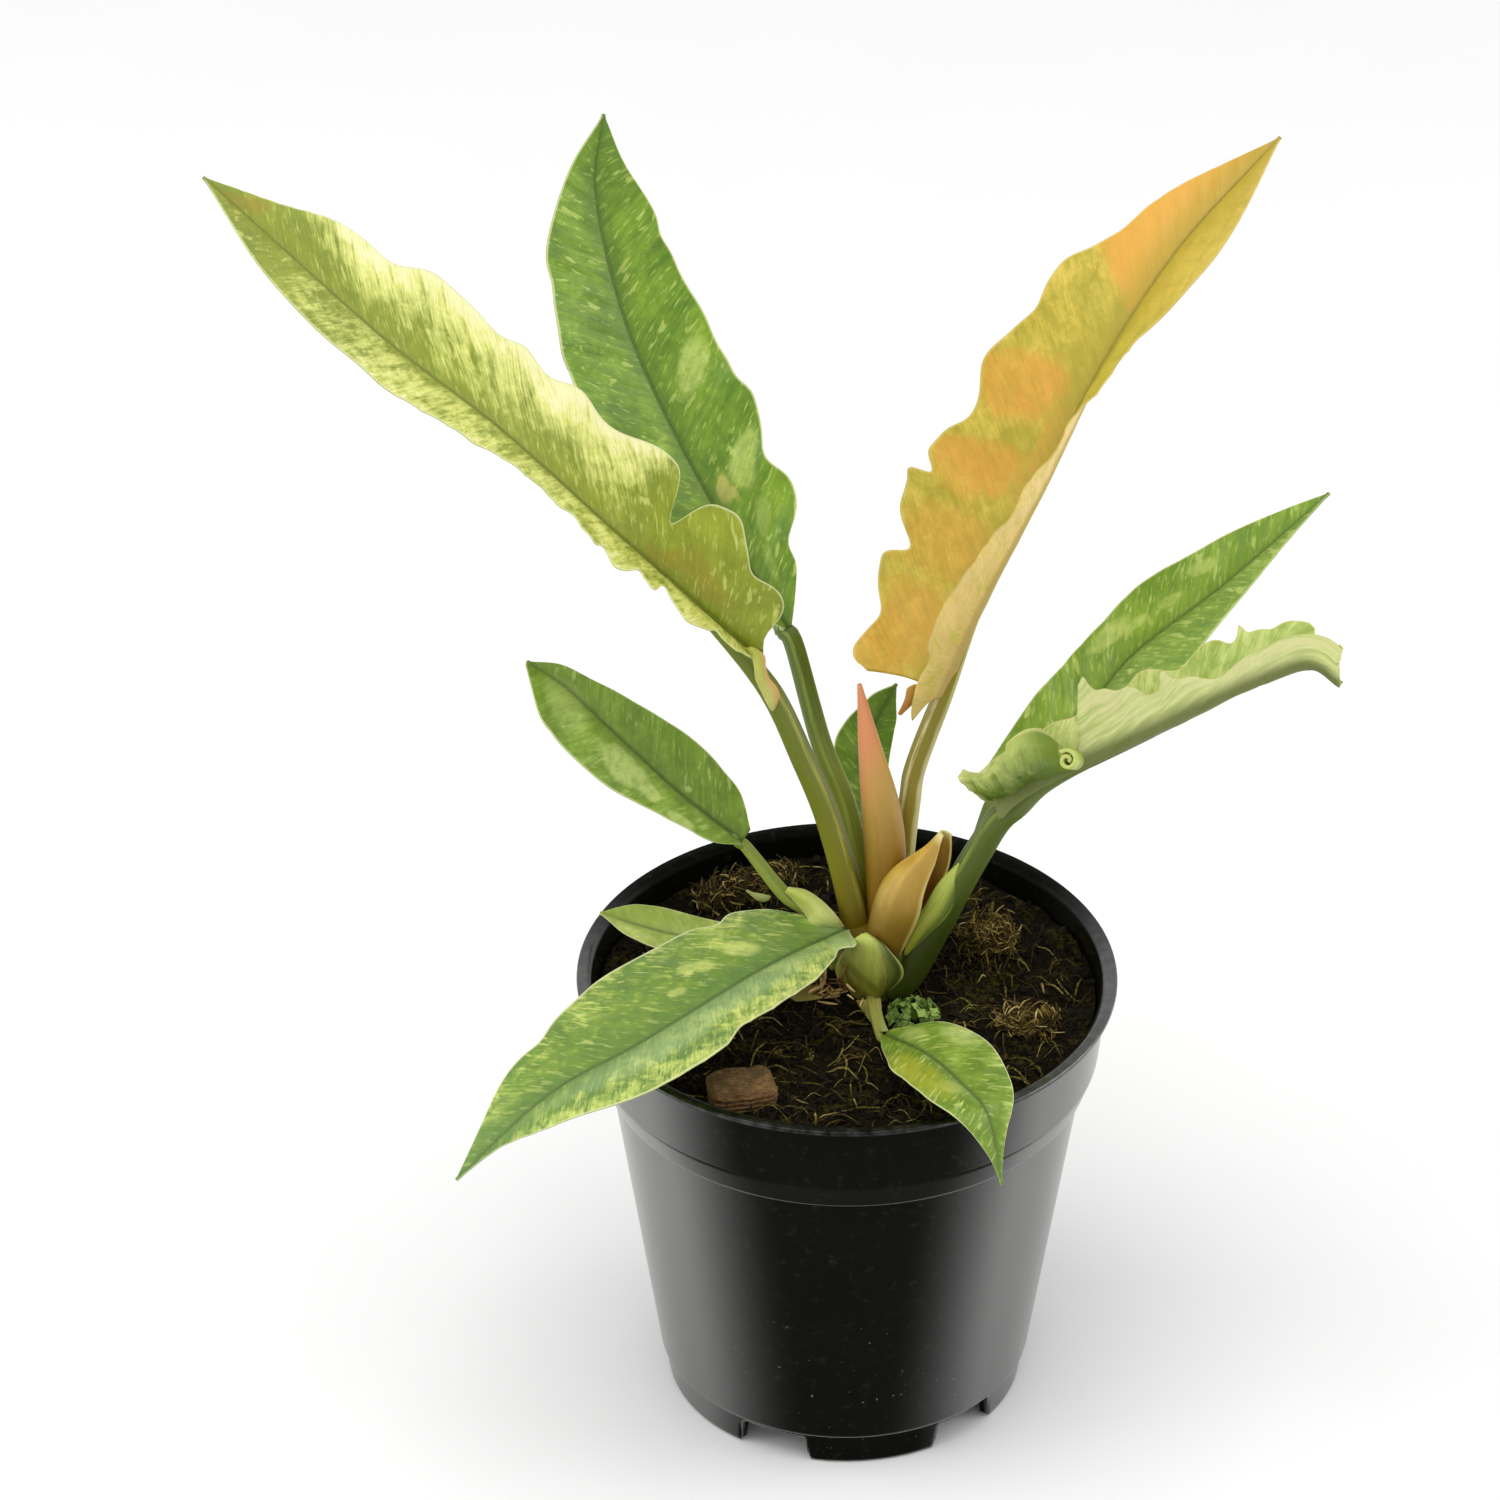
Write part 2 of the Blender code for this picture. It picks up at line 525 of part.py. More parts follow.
def make_pot(parts, cutters):
    """The pot, with notches through its foot ring and a drain hole by each."""
    pot = turned("pot", pot_profile(), POT_SIDES, parts,
                 make_material("pot_black", (0.012, 0.013, 0.010), 0.38))
    for number, bearing in enumerate(NOTCH_BEARINGS):
        turn = radians(bearing)
        heading = np.array([sin(turn), -cos(turn), 0.0])
        bm = bmesh.new()
        bmesh.ops.create_cube(bm, size=1.0)
        bmesh.ops.scale(bm, verts=bm.verts, vec=Vector((NOTCH_WIDTH, NOTCH_REACH, 2 * NOTCH_HEIGHT)) * MM)
        bmesh.ops.rotate(bm, verts=bm.verts, matrix=Matrix.Rotation(turn, 3, "Z"))
        bmesh.ops.translate(bm, verts=bm.verts, vec=world(FOOT_RADIUS * heading))
        notch = add_mesh_object(f"notch_{number + 1}", bm, cutters)
        bm = bmesh.new()
        bmesh.ops.create_cone(bm, cap_ends=True, segments=12, radius1=DRAIN_RADIUS * MM,
                              radius2=DRAIN_RADIUS * MM, depth=4 * FLOOR * MM)
        hole_centre = DRAIN_CIRCLE * heading + np.array([0.0, 0.0, FOOT_HEIGHT + 0.5 * FLOOR])
        bmesh.ops.translate(bm, verts=bm.verts, vec=world(hole_centre))
        hole = add_mesh_object(f"drain_{number + 1}", bm, cutters)
        for cutter in (notch, hole):
            mark_cutter(cutter)
            combine(pot, cutter, "DIFFERENCE")


def soil_height(x, y):
    """Height in mm of the soil's top: level, dipped towards the stem, with low uneven swells."""
    away = np.hypot(x - STEM_X, y - STEM_Y)
    swell = (np.sin(0.31 * x + 0.4) * np.cos(0.27 * y - 0.6) + 0.6 * np.sin(0.21 * x - 0.37 * y)) / 1.6
    calm = 1 - np.exp(-(away / 26) ** 2)
    return POT_HEIGHT - SOIL_BELOW_RIM - SOIL_DIP * (1 - calm) + SOIL_SWELL * swell * calm


def make_soil(parts):
    """The soil: turned in rings to fit inside the wall, then its top raised to soil_height."""
    wall = [(radius - SOIL_GAP, height + GAP) for radius, height in inside_profile()]
    radii, heights = zip(*wall)
    edge_radius = np.interp(POT_HEIGHT - SOIL_BELOW_RIM, heights, radii)
    bm = bmesh.new()
    profile = [(edge_radius * (ring + 1) / SOIL_RINGS, None) for ring in range(SOIL_RINGS)]
    profile += reversed([point for point in wall if point[1] < POT_HEIGHT - 2 * SOIL_BELOW_RIM])
    loops = []
    for radius, height in profile:
        loop = []
        for angle in np.arange(SOIL_SIDES) * tau / SOIL_SIDES:
            x, y = radius * cos(angle), radius * sin(angle)
            loop.append(bm.verts.new(world((x, y, soil_height(x, y) if height is None else height))))
        loops.append(loop)
    for inner, outer in zip(loops, loops[1:]):
        for index in range(SOIL_SIDES):
            following = (index + 1) % SOIL_SIDES
            bm.faces.new((inner[index], outer[index], outer[following], inner[following]))
    centre = bm.verts.new(world((0, 0, soil_height(0, 0))))
    for index in range(SOIL_SIDES):
        bm.faces.new((centre, loops[0][index], loops[0][(index + 1) % SOIL_SIDES]))
    bm.faces.new(loops[-1])
    bmesh.ops.triangulate(bm, faces=bm.faces)
    return add_mesh_object("soil", bm, parts, make_material("soil_brown", (0.035, 0.024, 0.014), 0.95))


def seat(soil, bm, name, cutters):
    """A hole in the soil for a loose thing: its own shape grown by the gap."""
    bm.normal_update()
    for vert in bm.verts:
        vert.co += vert.normal * SEAT_GAP * MM
    hole = add_mesh_object(name + "_seat", bm, cutters)
    mark_cutter(hole)
    combine(soil, hole, "DIFFERENCE")


def rough_lump(centre, size, turn, seed, roughness, shape):
    """A lump of the given size, its vertices moved by a seeded draw, set SEAT_DEPTH into the soil."""
    draw = np.random.default_rng(seed)
    bm = bmesh.new()
    if shape == "block":
        bmesh.ops.create_cube(bm, size=1.0)
        bmesh.ops.subdivide_edges(bm, edges=bm.edges, cuts=1, use_grid_fill=True)
    else:
        bmesh.ops.create_icosphere(bm, subdivisions=2, radius=0.5)
    for vert in bm.verts:
        vert.co *= 1 + roughness * draw.uniform(-1, 1)
    bmesh.ops.triangulate(bm, faces=bm.faces)
    bmesh.ops.scale(bm, verts=bm.verts, vec=Vector(size) * MM)
    bmesh.ops.rotate(bm, verts=bm.verts, matrix=Matrix.Rotation(radians(turn), 3, "Z"))
    height = soil_height(*centre) - SEAT_DEPTH + 0.5 * size[2]
    bmesh.ops.translate(bm, verts=bm.verts, vec=world((*centre, height)))
    return bm


def make_loose_things(soil, parts, cutters):
    """The coir chip and the moss clumps, each in its own seat in the soil."""
    bark = make_material("chip_brown", (0.23, 0.13, 0.06), 0.9)
    moss = make_material("moss_olive", (0.16, 0.13, 0.05), 0.95)
    things = [("coir_chip", CHIP, bark, "block", 0.10)]
    things += [(f"moss_clump_{number + 1}", clump, moss, "ball", 0.12)
               for number, clump in enumerate(MOSS_CLUMPS)]
    for seed, (name, thing, material, shape, roughness) in enumerate(things):
        lump = rough_lump(thing["centre"], thing["size"], thing.get("turn", 0), seed, roughness, shape)
        seat(soil, lump.copy(), name, cutters)
        add_mesh_object(name, lump, parts, material)


def make_tuft(soil, parts, cutters):
    """The small weed as one solid: a core in its seat, joined to leaflets that spread and rise."""
    core_centre = world((*TUFT_CENTRE, soil_height(*TUFT_CENTRE) + 0.3 * TUFT_CORE_RADIUS))
    bm = bmesh.new()
    bmesh.ops.create_icosphere(bm, subdivisions=2, radius=TUFT_CORE_RADIUS * MM)
    bmesh.ops.translate(bm, verts=bm.verts, vec=core_centre)
    seat(soil, bm.copy(), "weed_tuft", cutters)
    tuft = add_mesh_object("weed_tuft", bm, parts, make_material("weed_green", (0.16, 0.36, 0.06), 0.5))
    draw = np.random.default_rng(TUFT_SEED)
    for number in range(TUFT_LEAFLETS):
        turn = tau * (number + draw.uniform(-0.3, 0.3)) / TUFT_LEAFLETS
        rise = radians(draw.uniform(25, 60))
        leaflet = bmesh.new()
        bmesh.ops.create_icosphere(leaflet, subdivisions=1, radius=0.5)
        bmesh.ops.scale(leaflet, verts=leaflet.verts, vec=Vector(LEAFLET_SIZE) * MM)
        bmesh.ops.translate(leaflet, verts=leaflet.verts, vec=(0.5 * LEAFLET_SIZE[0] * MM, 0, 0))
        bmesh.ops.rotate(leaflet, verts=leaflet.verts, matrix=Matrix.Rotation(-rise, 3, "Y"))
        bmesh.ops.rotate(leaflet, verts=leaflet.verts, matrix=Matrix.Rotation(turn, 3, "Z"))
        bmesh.ops.translate(leaflet, verts=leaflet.verts, vec=core_centre)
        piece = add_mesh_object(f"leaflet_{number + 1}", leaflet, cutters)
        mark_cutter(piece)
        combine(tuft, piece, "UNION")


def main():
    clear_scene()
    parts, cutters = make_collections()
    make_pot(parts, cutters)
    soil = make_soil(parts)
    stem = make_stem(parts)
    stem_hole = add_mesh_object("stem_hole", ring_loft(STEM_RINGS[:5], STEM_GAP), cutters)
    mark_cutter(stem_hole)
    combine(soil, stem_hole, "DIFFERENCE")
    make_loose_things(soil, parts, cutters)
    make_tuft(soil, parts, cutters)

    for name, leaf in LEAVES.items():
        make_blade(name, leaf, parts)
        points, radii = stalk_route(leaf)
        stalk_green = make_material(name + "_stalk", (0.33, 0.42, 0.10), 0.45)
        if name == STALK_WING["stalk"]:
            stalk = mesh_tube(name + "_stalk", points, radii, parts, stalk_green)
            wing = mesh_tube("wing", STALK_WING["points"], STALK_WING["radii"], cutters)
            mark_cutter(wing)
            combine(stalk, wing, "UNION")
        else:
            make_tube(name + "_stalk", points, radii, parts, stalk_green)
        combine(stem, tube_cutter(name + "_socket", points, radii, cutters), "DIFFERENCE")
    for name, spike in SPIKES.items():
        shares = np.linspace(0, 1, 9)
        points = even_path(spike["points"], shares)
        radii = along(spike["radii"], shares)[:, 0]
        make_tube(name, points, radii, parts, make_material(name, spike["colour"], 0.45))
        combine(stem, tube_cutter(name + "_socket", points, radii, cutters), "DIFFERENCE")


main()
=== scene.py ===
from itertools import product
from math import cos, pi, radians, sin, tau

import bpy
import numpy as np
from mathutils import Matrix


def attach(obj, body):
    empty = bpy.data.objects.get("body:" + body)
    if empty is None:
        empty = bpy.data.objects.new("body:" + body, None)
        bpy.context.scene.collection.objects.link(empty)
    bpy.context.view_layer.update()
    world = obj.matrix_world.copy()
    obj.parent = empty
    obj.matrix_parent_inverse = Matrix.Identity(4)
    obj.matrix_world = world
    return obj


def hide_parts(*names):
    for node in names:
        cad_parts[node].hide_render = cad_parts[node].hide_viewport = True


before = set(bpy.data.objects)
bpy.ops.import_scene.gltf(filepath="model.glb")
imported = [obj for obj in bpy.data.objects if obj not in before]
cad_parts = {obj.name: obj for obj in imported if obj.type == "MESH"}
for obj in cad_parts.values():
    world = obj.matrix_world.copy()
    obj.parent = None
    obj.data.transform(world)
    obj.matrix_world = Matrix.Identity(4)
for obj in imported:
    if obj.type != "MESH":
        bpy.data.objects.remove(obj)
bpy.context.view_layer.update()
print("frame loaded:", len(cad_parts), "nodes")

mm = 0.001
potAxis = np.array([14.3, 2.2, 0.0])  # mm from the origin; every place below is in mm from this axis


# ---- curves, noise and surfaces

# Millimetres from the pot's axis to metres from the origin: add the axis' place, then scale.
def toWorld(points):
    return (np.asarray(points, float) + potAxis) * mm


# Each vector divided by its own length.
def unit(vectors):
    return vectors / np.linalg.norm(vectors, axis=-1, keepdims=True)


# 3t^2 - 2t^3 of how far x has gone from low to high, held between 0 and 1.
def easeBetween(x, low, high):
    t = np.clip((x - low) / (high - low), 0, 1)
    return t * t * (3 - 2 * t)


# A smooth curve through even steps: each span is the cubic whose end slopes are half the step
# between the neighbours on either side.
def smoothThrough(values, shares):
    rows = np.asarray(values, float).reshape(len(values), -1)
    if len(rows) == 1:
        return np.repeat(rows, len(shares), axis=0)
    ends = np.vstack([2 * rows[0] - rows[1], rows, 2 * rows[-1] - rows[-2]])
    place = np.asarray(shares) * (len(rows) - 1)
    start = np.minimum(place.astype(int), len(rows) - 2)
    step = (place - start)[:, None]
    before, here, after, last = (ends[start + shift] for shift in range(4))
    return 0.5 * (2 * here + (after - before) * step
                  + (2 * before - 5 * here + 4 * after - last) * step ** 2
                  + (3 * here - before - 3 * after + last) * step ** 3)


# Points at shares of the true length of the smooth curve through the given points.
def evenPath(points, shares):
    fine = smoothThrough(points, np.linspace(0, 1, 400))
    runs = np.concatenate([[0], np.cumsum(np.linalg.norm(np.diff(fine, axis=0), axis=1))])
    wanted = np.asarray(shares) * runs[-1]
    return np.stack([np.interp(wanted, runs, fine[:, axis]) for axis in range(3)], axis=1)


# Value noise from -1 to 1: random numbers on a cubic lattice, blended between a point's eight
# corners by 3t^2 - 2t^3, and each octave half the size and half the strength of the last.
def lumpy(points, size, seed, octaves=3):
    total = 0
    for octave in range(octaves):
        place = points / size * 2 ** octave + 7.3 * seed + 5.1 * octave
        cell = np.floor(place)
        blend = (place - cell) ** 2 * (3 - 2 * (place - cell))
        value = 0
        for corner in product((0, 1), repeat=3):
            number = np.sin((cell + corner) @ np.array([12.9898, 78.233, 37.719]) + seed) * 43758.5453
            weight = np.where(np.array(corner) == 1, blend, 1 - blend).prod(axis=-1)
            value = value + (number - np.floor(number)) * weight
        total = total + (2 * value - 1) / 2 ** octave
    return total / (2 - 0.5 ** (octaves - 1))


# A closed skin over rings: quads between each ring and the next, and a strip of quads across
# each end ring. Leading axes of rings hold separate shapes of one piece. Faces are turned out
# by the sign of the volume that they enclose.
def skin(name, rings, material, nodes=(), maps=None, marks=None):
    rows, cols = rings.shape[-3:-1]
    count = rings.size // (rows * cols * 3)
    row, col = (grid.ravel() for grid in np.meshgrid(np.arange(rows - 1), np.arange(cols), indexing="ij"))
    strip = np.arange(cols // 2 - 1)
    across = np.stack([strip, cols - 1 - strip, cols - 2 - strip, strip + 1], axis=1)
    faceRow = np.vstack([np.stack([row, row, row + 1, row + 1], axis=1),
                         np.zeros_like(across), np.full_like(across, rows - 1)])
    faceCol = np.vstack([np.stack([col, col + 1, col + 1, col], axis=1), across, across[:, ::-1]])
    faces = faceRow * cols + faceCol % cols
    points = rings.reshape(count, -1, 3)
    a, b, c, d = (points[:1, faces[:, corner]] for corner in range(4))
    inward = np.sum(np.cross(a - points[:1, :1], b - points[:1, :1]) * (c - points[:1, :1])
                    + np.cross(a - points[:1, :1], c - points[:1, :1]) * (d - points[:1, :1])) < 0
    if inward:
        faces, faceRow, faceCol = faces[:, ::-1], faceRow[:, ::-1], faceCol[:, ::-1]
    every = faces[None] + (np.arange(count) * rows * cols)[:, None, None]

    mesh = bpy.data.meshes.new(name)
    mesh.vertices.add(count * rows * cols)
    mesh.vertices.foreach_set("co", toWorld(points).ravel())
    mesh.loops.add(every.size)
    mesh.loops.foreach_set("vertex_index", every.ravel())
    mesh.polygons.add(every.size // 4)
    mesh.polygons.foreach_set("loop_start", np.arange(0, every.size, 4))
    mesh.update(calc_edges=True)
    for mapName, grid in (maps or {}).items():
        layer = mesh.uv_layers.new(name=mapName)
        grid = np.broadcast_to(grid, (count, rows, cols + 1, 2))
        layer.data.foreach_set("uv", grid[:, faceRow, faceCol].ravel())
    for markName, values in (marks or {}).items():
        mark = mesh.attributes.new(markName, "FLOAT", "POINT")
        values = np.broadcast_to(np.asarray(values, float).reshape(count, -1, 1) if np.ndim(values) == 1
                                 else np.asarray(values, float).reshape(-1, rows * cols, 1),
                                 (count, rows * cols, 1))
        mark.data.foreach_set("value", values.ravel())
    mesh.shade_smooth()
    mesh.materials.append(material)
    piece = bpy.data.objects.new(name, mesh)
    bpy.context.scene.collection.objects.link(piece)
    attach(piece, "root")
    if nodes:
        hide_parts(*nodes)
    return piece


# A thin sheet through a net of points, smooth both ways, with a lower face under it by the
# thickness. wave lifts it by a noise whose size is in mm.
def sheet(name, net, material, thickness=0.45, rows=36, cols=22, wave=0.0, size=5.0, seed=1):
    net = np.asarray(net, float)
    down = smoothThrough(net, np.linspace(0, 1, rows)).reshape(rows, -1, 3)
    grid = smoothThrough(down.swapaxes(0, 1), np.linspace(0, 1, cols)).reshape(cols, rows, 3).swapaxes(0, 1)
    normal = unit(np.cross(np.gradient(grid, axis=1), np.gradient(grid, axis=0)))
    grid = grid + normal * wave * lumpy(grid, size, seed)[..., None]
    rings = np.concatenate([grid, (grid - normal * thickness)[:, ::-1]], axis=1)
    turn = np.linspace(-1, 1, cols)
    wrap = np.stack(np.broadcast_arrays(np.concatenate([turn, turn[::-1], turn[:1]])[None, :],
                                        np.linspace(0, 1, rows)[:, None]), axis=-1)
    skin(name, rings, material, maps={"wrap": wrap})


# ---- painting

# sRGB, 0 to 255, to the linear colour that a shader takes.
def tone(red, green, blue):
    share = np.array([red, green, blue]) / 255
    return (*np.where(share <= 0.04045, share / 12.92, ((share + 0.055) / 1.055) ** 2.4), 1.0)


# A socket in a node tree: sums on it add Math nodes, and node() adds any other kind.
class Wire:
    def __init__(self, tree, socket=None):
        self.tree = tree
        self.socket = socket

    def node(self, kind, settings=None, sockets=None, output=0):
        made = self.tree.nodes.new(kind)
        for name, value in (settings or {}).items():
            if name == "stops":
                for place, colour in value[2:]:
                    made.color_ramp.elements.new(place)
                for stop, (place, colour) in zip(made.color_ramp.elements, sorted(value)):
                    stop.position, stop.color = place, colour
            else:
                setattr(made, name, value)
        for name, value in (sockets or {}).items():
            if isinstance(value, Wire):
                self.tree.links.new(value.socket, made.inputs[name])
            else:
                made.inputs[name].default_value = value
        return Wire(self.tree, made.outputs[output])

    def math(self, operation, *values):
        return self.node("ShaderNodeMath", {"operation": operation}, dict(enumerate(values)))

    def __add__(self, other):
        return self.math("ADD", self, other)

    def __sub__(self, other):
        return self.math("SUBTRACT", self, other)

    def __rsub__(self, other):
        return self.math("SUBTRACT", other, self)

    def __mul__(self, other):
        return self.math("MULTIPLY", self, other)

    def __neg__(self):
        return self * -1

    def __abs__(self):
        return self.math("ABSOLUTE", self)

    def __pow__(self, power):
        return self.math("POWER", self, power)

    __radd__ = __add__
    __rmul__ = __mul__

    # The socket's value eased from 0 at low to 1 at high.
    def ease(self, low, high):
        return self.node("ShaderNodeMapRange", {"interpolation_type": "SMOOTHSTEP"},
                         {"Value": self, "From Min": low, "From Max": high})

    # The colour first where the socket is 0, second where it is 1.
    def mix(self, first, second):
        return self.node("ShaderNodeMix", {"data_type": "RGBA"},
                         {"Factor": self, 6: first, 7: second}, output=2)


# A new material: build(paint) gives the sockets that vary, and fixed the ones that don't.
def newMaterial(name, build, **fixed):
    material = bpy.data.materials.new(name)
    material.use_nodes = True
    tree = material.node_tree
    shader = tree.nodes["Principled BSDF"]
    for socket, value in fixed.items():
        shader.inputs[socket.replace("_", " ")].default_value = value
    for socket, value in build(Wire(tree)).items():
        tree.links.new(value.socket, shader.inputs[socket.replace("_", " ")])
    return material


# A vector of three sockets or numbers.
def vector(paint, x, y, z=0.0):
    return paint.node("ShaderNodeCombineXYZ", sockets={"X": x, "Y": y, "Z": z})


# Blender's noise, about 0.5 on average, on a vector whose unit is the noise's size.
def noise(paint, place, scale=1.0, detail=2.0, roughness=0.5, distortion=0.0):
    return paint.node("ShaderNodeTexNoise", None, {
        "Vector": place, "Scale": scale, "Detail": detail, "Roughness": roughness,
        "Distortion": distortion})


# Object coordinates in mm from the pot's axis.
def objectPlace(paint):
    place = paint.node("ShaderNodeTexCoord", output=3)
    return paint.node("ShaderNodeVectorMath", {"operation": "MULTIPLY_ADD"},
                      {0: place, 1: (1000, 1000, 1000), 2: tuple(-potAxis)})


# The x and y of one of the piece's own UV maps.
def mapParts(paint, name):
    split = paint.node("ShaderNodeUVMap", {"uv_map": name}).node
    parts = paint.node("ShaderNodeSeparateXYZ", None, {
        "Vector": paint.node("ShaderNodeUVMap", {"uv_map": name})})
    return parts, Wire(parts.tree, parts.socket.node.outputs[1])


# A number stored at each vertex of the piece.
def markValue(paint, name):
    return paint.node("ShaderNodeAttribute", {"attribute_name": name}, output=2)


def bump(paint, height, distance, strength=1.0):
    return paint.node("ShaderNodeBump", None, {"Height": height, "Distance": distance * mm,
                                               "Strength": strength})


# ---- camera, light and floor

view = dict(place=(-21.5, -1525.4, 1177.0), down=33.55, lens=201.6)
lights = dict(
    top=dict(place=(-150, -350, 1400), size=(900, 900), power=6.5),
    left=dict(place=(-1000, -50, 420), size=(800, 900), power=5),
    right=dict(place=(1000, 0, 420), size=(800, 900), power=4.2),
)


def makeCamera():
    data = bpy.data.cameras.new("camera")
    data.lens = view["lens"]
    data.sensor_width = 36
    data.clip_end = 20
    camera = bpy.data.objects.new("camera", data)
    camera.location = toWorld(view["place"])
    camera.rotation_euler = (radians(90 - view["down"]), 0, 0)
    bpy.context.scene.collection.objects.link(camera)
    bpy.context.scene.camera = camera


# An area light that looks at the middle of the plant.
def makeLight(name, place, size, power):
    data = bpy.data.lights.new(name, "AREA")
    data.shape = "RECTANGLE"
    data.size, data.size_y = (side * mm for side in size)
    data.energy = power
    light = bpy.data.objects.new(name, data)
    light.location = toWorld(place)
    aim = bpy.data.objects.new(name + "Aim", None)
    aim.location = toWorld((0, 0, 140))
    light.rotation_euler = (aim.location - light.location).to_track_quat("-Z", "Y").to_euler()
    light.visible_camera = False
    bpy.data.objects.remove(aim)
    bpy.context.scene.collection.objects.link(light)


def makeStage():
    world = bpy.data.worlds.new("studio")
    world.use_nodes = True
    world.node_tree.nodes["Background"].inputs["Color"].default_value = (1, 1, 1, 1)
    world.node_tree.nodes["Background"].inputs["Strength"].default_value = 0.72
    bpy.context.scene.world = world
    bpy.context.scene.view_settings.view_transform = "Standard"
    mesh = bpy.data.meshes.new("floor")
    half = 6.0
    level = -0.0002
    mesh.from_pydata([(-half, -half, level), (half, -half, level), (half, half, level), (-half, half, level)],
                     [], [(0, 1, 2, 3)])
    floor = bpy.data.objects.new("floor", mesh)
    paper = newMaterial("floorPaper", lambda paint: {
        "Base Color": noise(paint, objectPlace(paint), 0.02).mix((0.93, 0.93, 0.93, 1), (0.95, 0.95, 0.95, 1))},
        Roughness=0.9)
    mesh.materials.append(paper)
    bpy.context.scene.collection.objects.link(floor)


makeCamera()
for lightName, light in lights.items():
    makeLight(lightName, **light)
makeStage()
print("camera, lights and floor made")


# ---- pot

pot = dict(
    height=106.0, rimRadius=60.0, rimWidth=2.2, rimThickness=1.2, rimRounding=0.5,
    bandTopRadius=58.0, creaseHeight=88.0, creaseRadius=56.2, bandFoot=81.6, bandFootRadius=53.9,
    wallTopRadius=52.8, wallFootRadius=41.8, wall=1.6, floor=2.0,
    footRadius=40.0, footHeight=8.0, footWall=2.2,
    notchBearings=(-24, 42, 112, 180, 248), notchWidth=16.0, notchHeight=6.5,
    drainRadius=4.0, drainCircle=28.0, sides=320)


# The section, up the inside and down the outside, with each corner cut by short steps.
def potSection():
    p = pot
    corners = [
        (0.6, p["footHeight"] + p["floor"]),
        (p["wallFootRadius"] - p["wall"], p["footHeight"] + p["floor"]),
        (p["wallTopRadius"] - p["wall"], p["bandFoot"]),
        (p["creaseRadius"] - p["wall"], p["creaseHeight"] + p["wall"]),
        (p["bandTopRadius"] - p["wall"], p["height"] - p["rimThickness"]),
        (p["rimRadius"] - p["rimWidth"], p["height"]),
        (p["rimRadius"], p["height"]),
        (p["rimRadius"], p["height"] - p["rimThickness"]),
        (p["bandTopRadius"], p["height"] - p["rimThickness"]),
        (p["creaseRadius"], p["creaseHeight"]),
        (p["bandFootRadius"], p["bandFoot"]),
        (p["wallTopRadius"], p["bandFoot"]),
        (p["wallFootRadius"], p["footHeight"]),
        (p["footRadius"] + 0.6, p["footHeight"]),
        (p["footRadius"], 0.0),
        (p["footRadius"] - p["footWall"], 0.0),
        (p["footRadius"] - p["footWall"] + 0.4, p["footHeight"]),
        (0.6, p["footHeight"]),
    ]
    points = np.array(corners)
    rounded = [points[0]]
    for before, here, after in zip(points, points[1:], points[2:]):
        reach = min(p["rimRounding"], 0.45 * np.linalg.norm(here - before), 0.45 * np.linalg.norm(after - here))
        start = here + (before - here) / np.linalg.norm(before - here) * reach
        end = here + (after - here) / np.linalg.norm(after - here) * reach
        for t in (0, 0.33, 0.67, 1):
            rounded.append((1 - t) ** 2 * start + 2 * t * (1 - t) * here + t ** 2 * end)
    rounded.append(points[-1])
    return np.array(rounded)


# The section turned round the axis. Below the notches' height the foot is lifted by how far
# each angle is into a notch, eased over a short ramp, so that its edge stays closed.
def makePot():
    section = potSection()
    rows = [section[0]]
    for before, here in zip(section, section[1:]):
        run = np.linalg.norm(here - before)
        if run > 3:
            rows += [before + (here - before) * t for t in (0.5 / run, 0.25, 0.5, 0.75, 1 - 0.5 / run)]
        rows.append(here)
    section = np.array(rows)
    angle = np.arange(pot["sides"]) * tau / pot["sides"]
    bearing = np.radians(pot["notchBearings"])
    away = np.abs((angle[:, None] - bearing + pi) % tau - pi) * pot["footRadius"]
    half = pot["notchWidth"] / 2
    lift = (pot["notchHeight"] * (1 - easeBetween(away, half - 0.6, half + 0.6))).max(axis=1)
    height = np.maximum(section[:, None, 1], np.where(section[:, None, 1] < pot["notchHeight"], lift, 0))
    radius = section[:, :1]
    rings = np.stack([radius * np.sin(angle), -radius * np.cos(angle), height], axis=-1)
    piece = skin("potShell", rings, potPlastic, ["pot"])
    cutters = []
    for turn in bearing:
        bpy.ops.mesh.primitive_cylinder_add(
            radius=pot["drainRadius"] * mm, depth=4 * pot["floor"] * mm, vertices=24,
            location=toWorld((pot["drainCircle"] * sin(turn), -pot["drainCircle"] * cos(turn),
                              pot["footHeight"] + pot["floor"] / 2)))
        cutter = bpy.context.object
        cutters.append(cutter)
        cut = piece.modifiers.new("drain", "BOOLEAN")
        cut.operation, cut.solver, cut.object = "DIFFERENCE", "EXACT", cutter
    depsgraph = bpy.context.evaluated_depsgraph_get()
    cutMesh = bpy.data.meshes.new_from_object(piece.evaluated_get(depsgraph))
    piece.modifiers.clear()
    piece.data = cutMesh
    for cutter in cutters:
        bpy.data.objects.remove(cutter)
    return piece


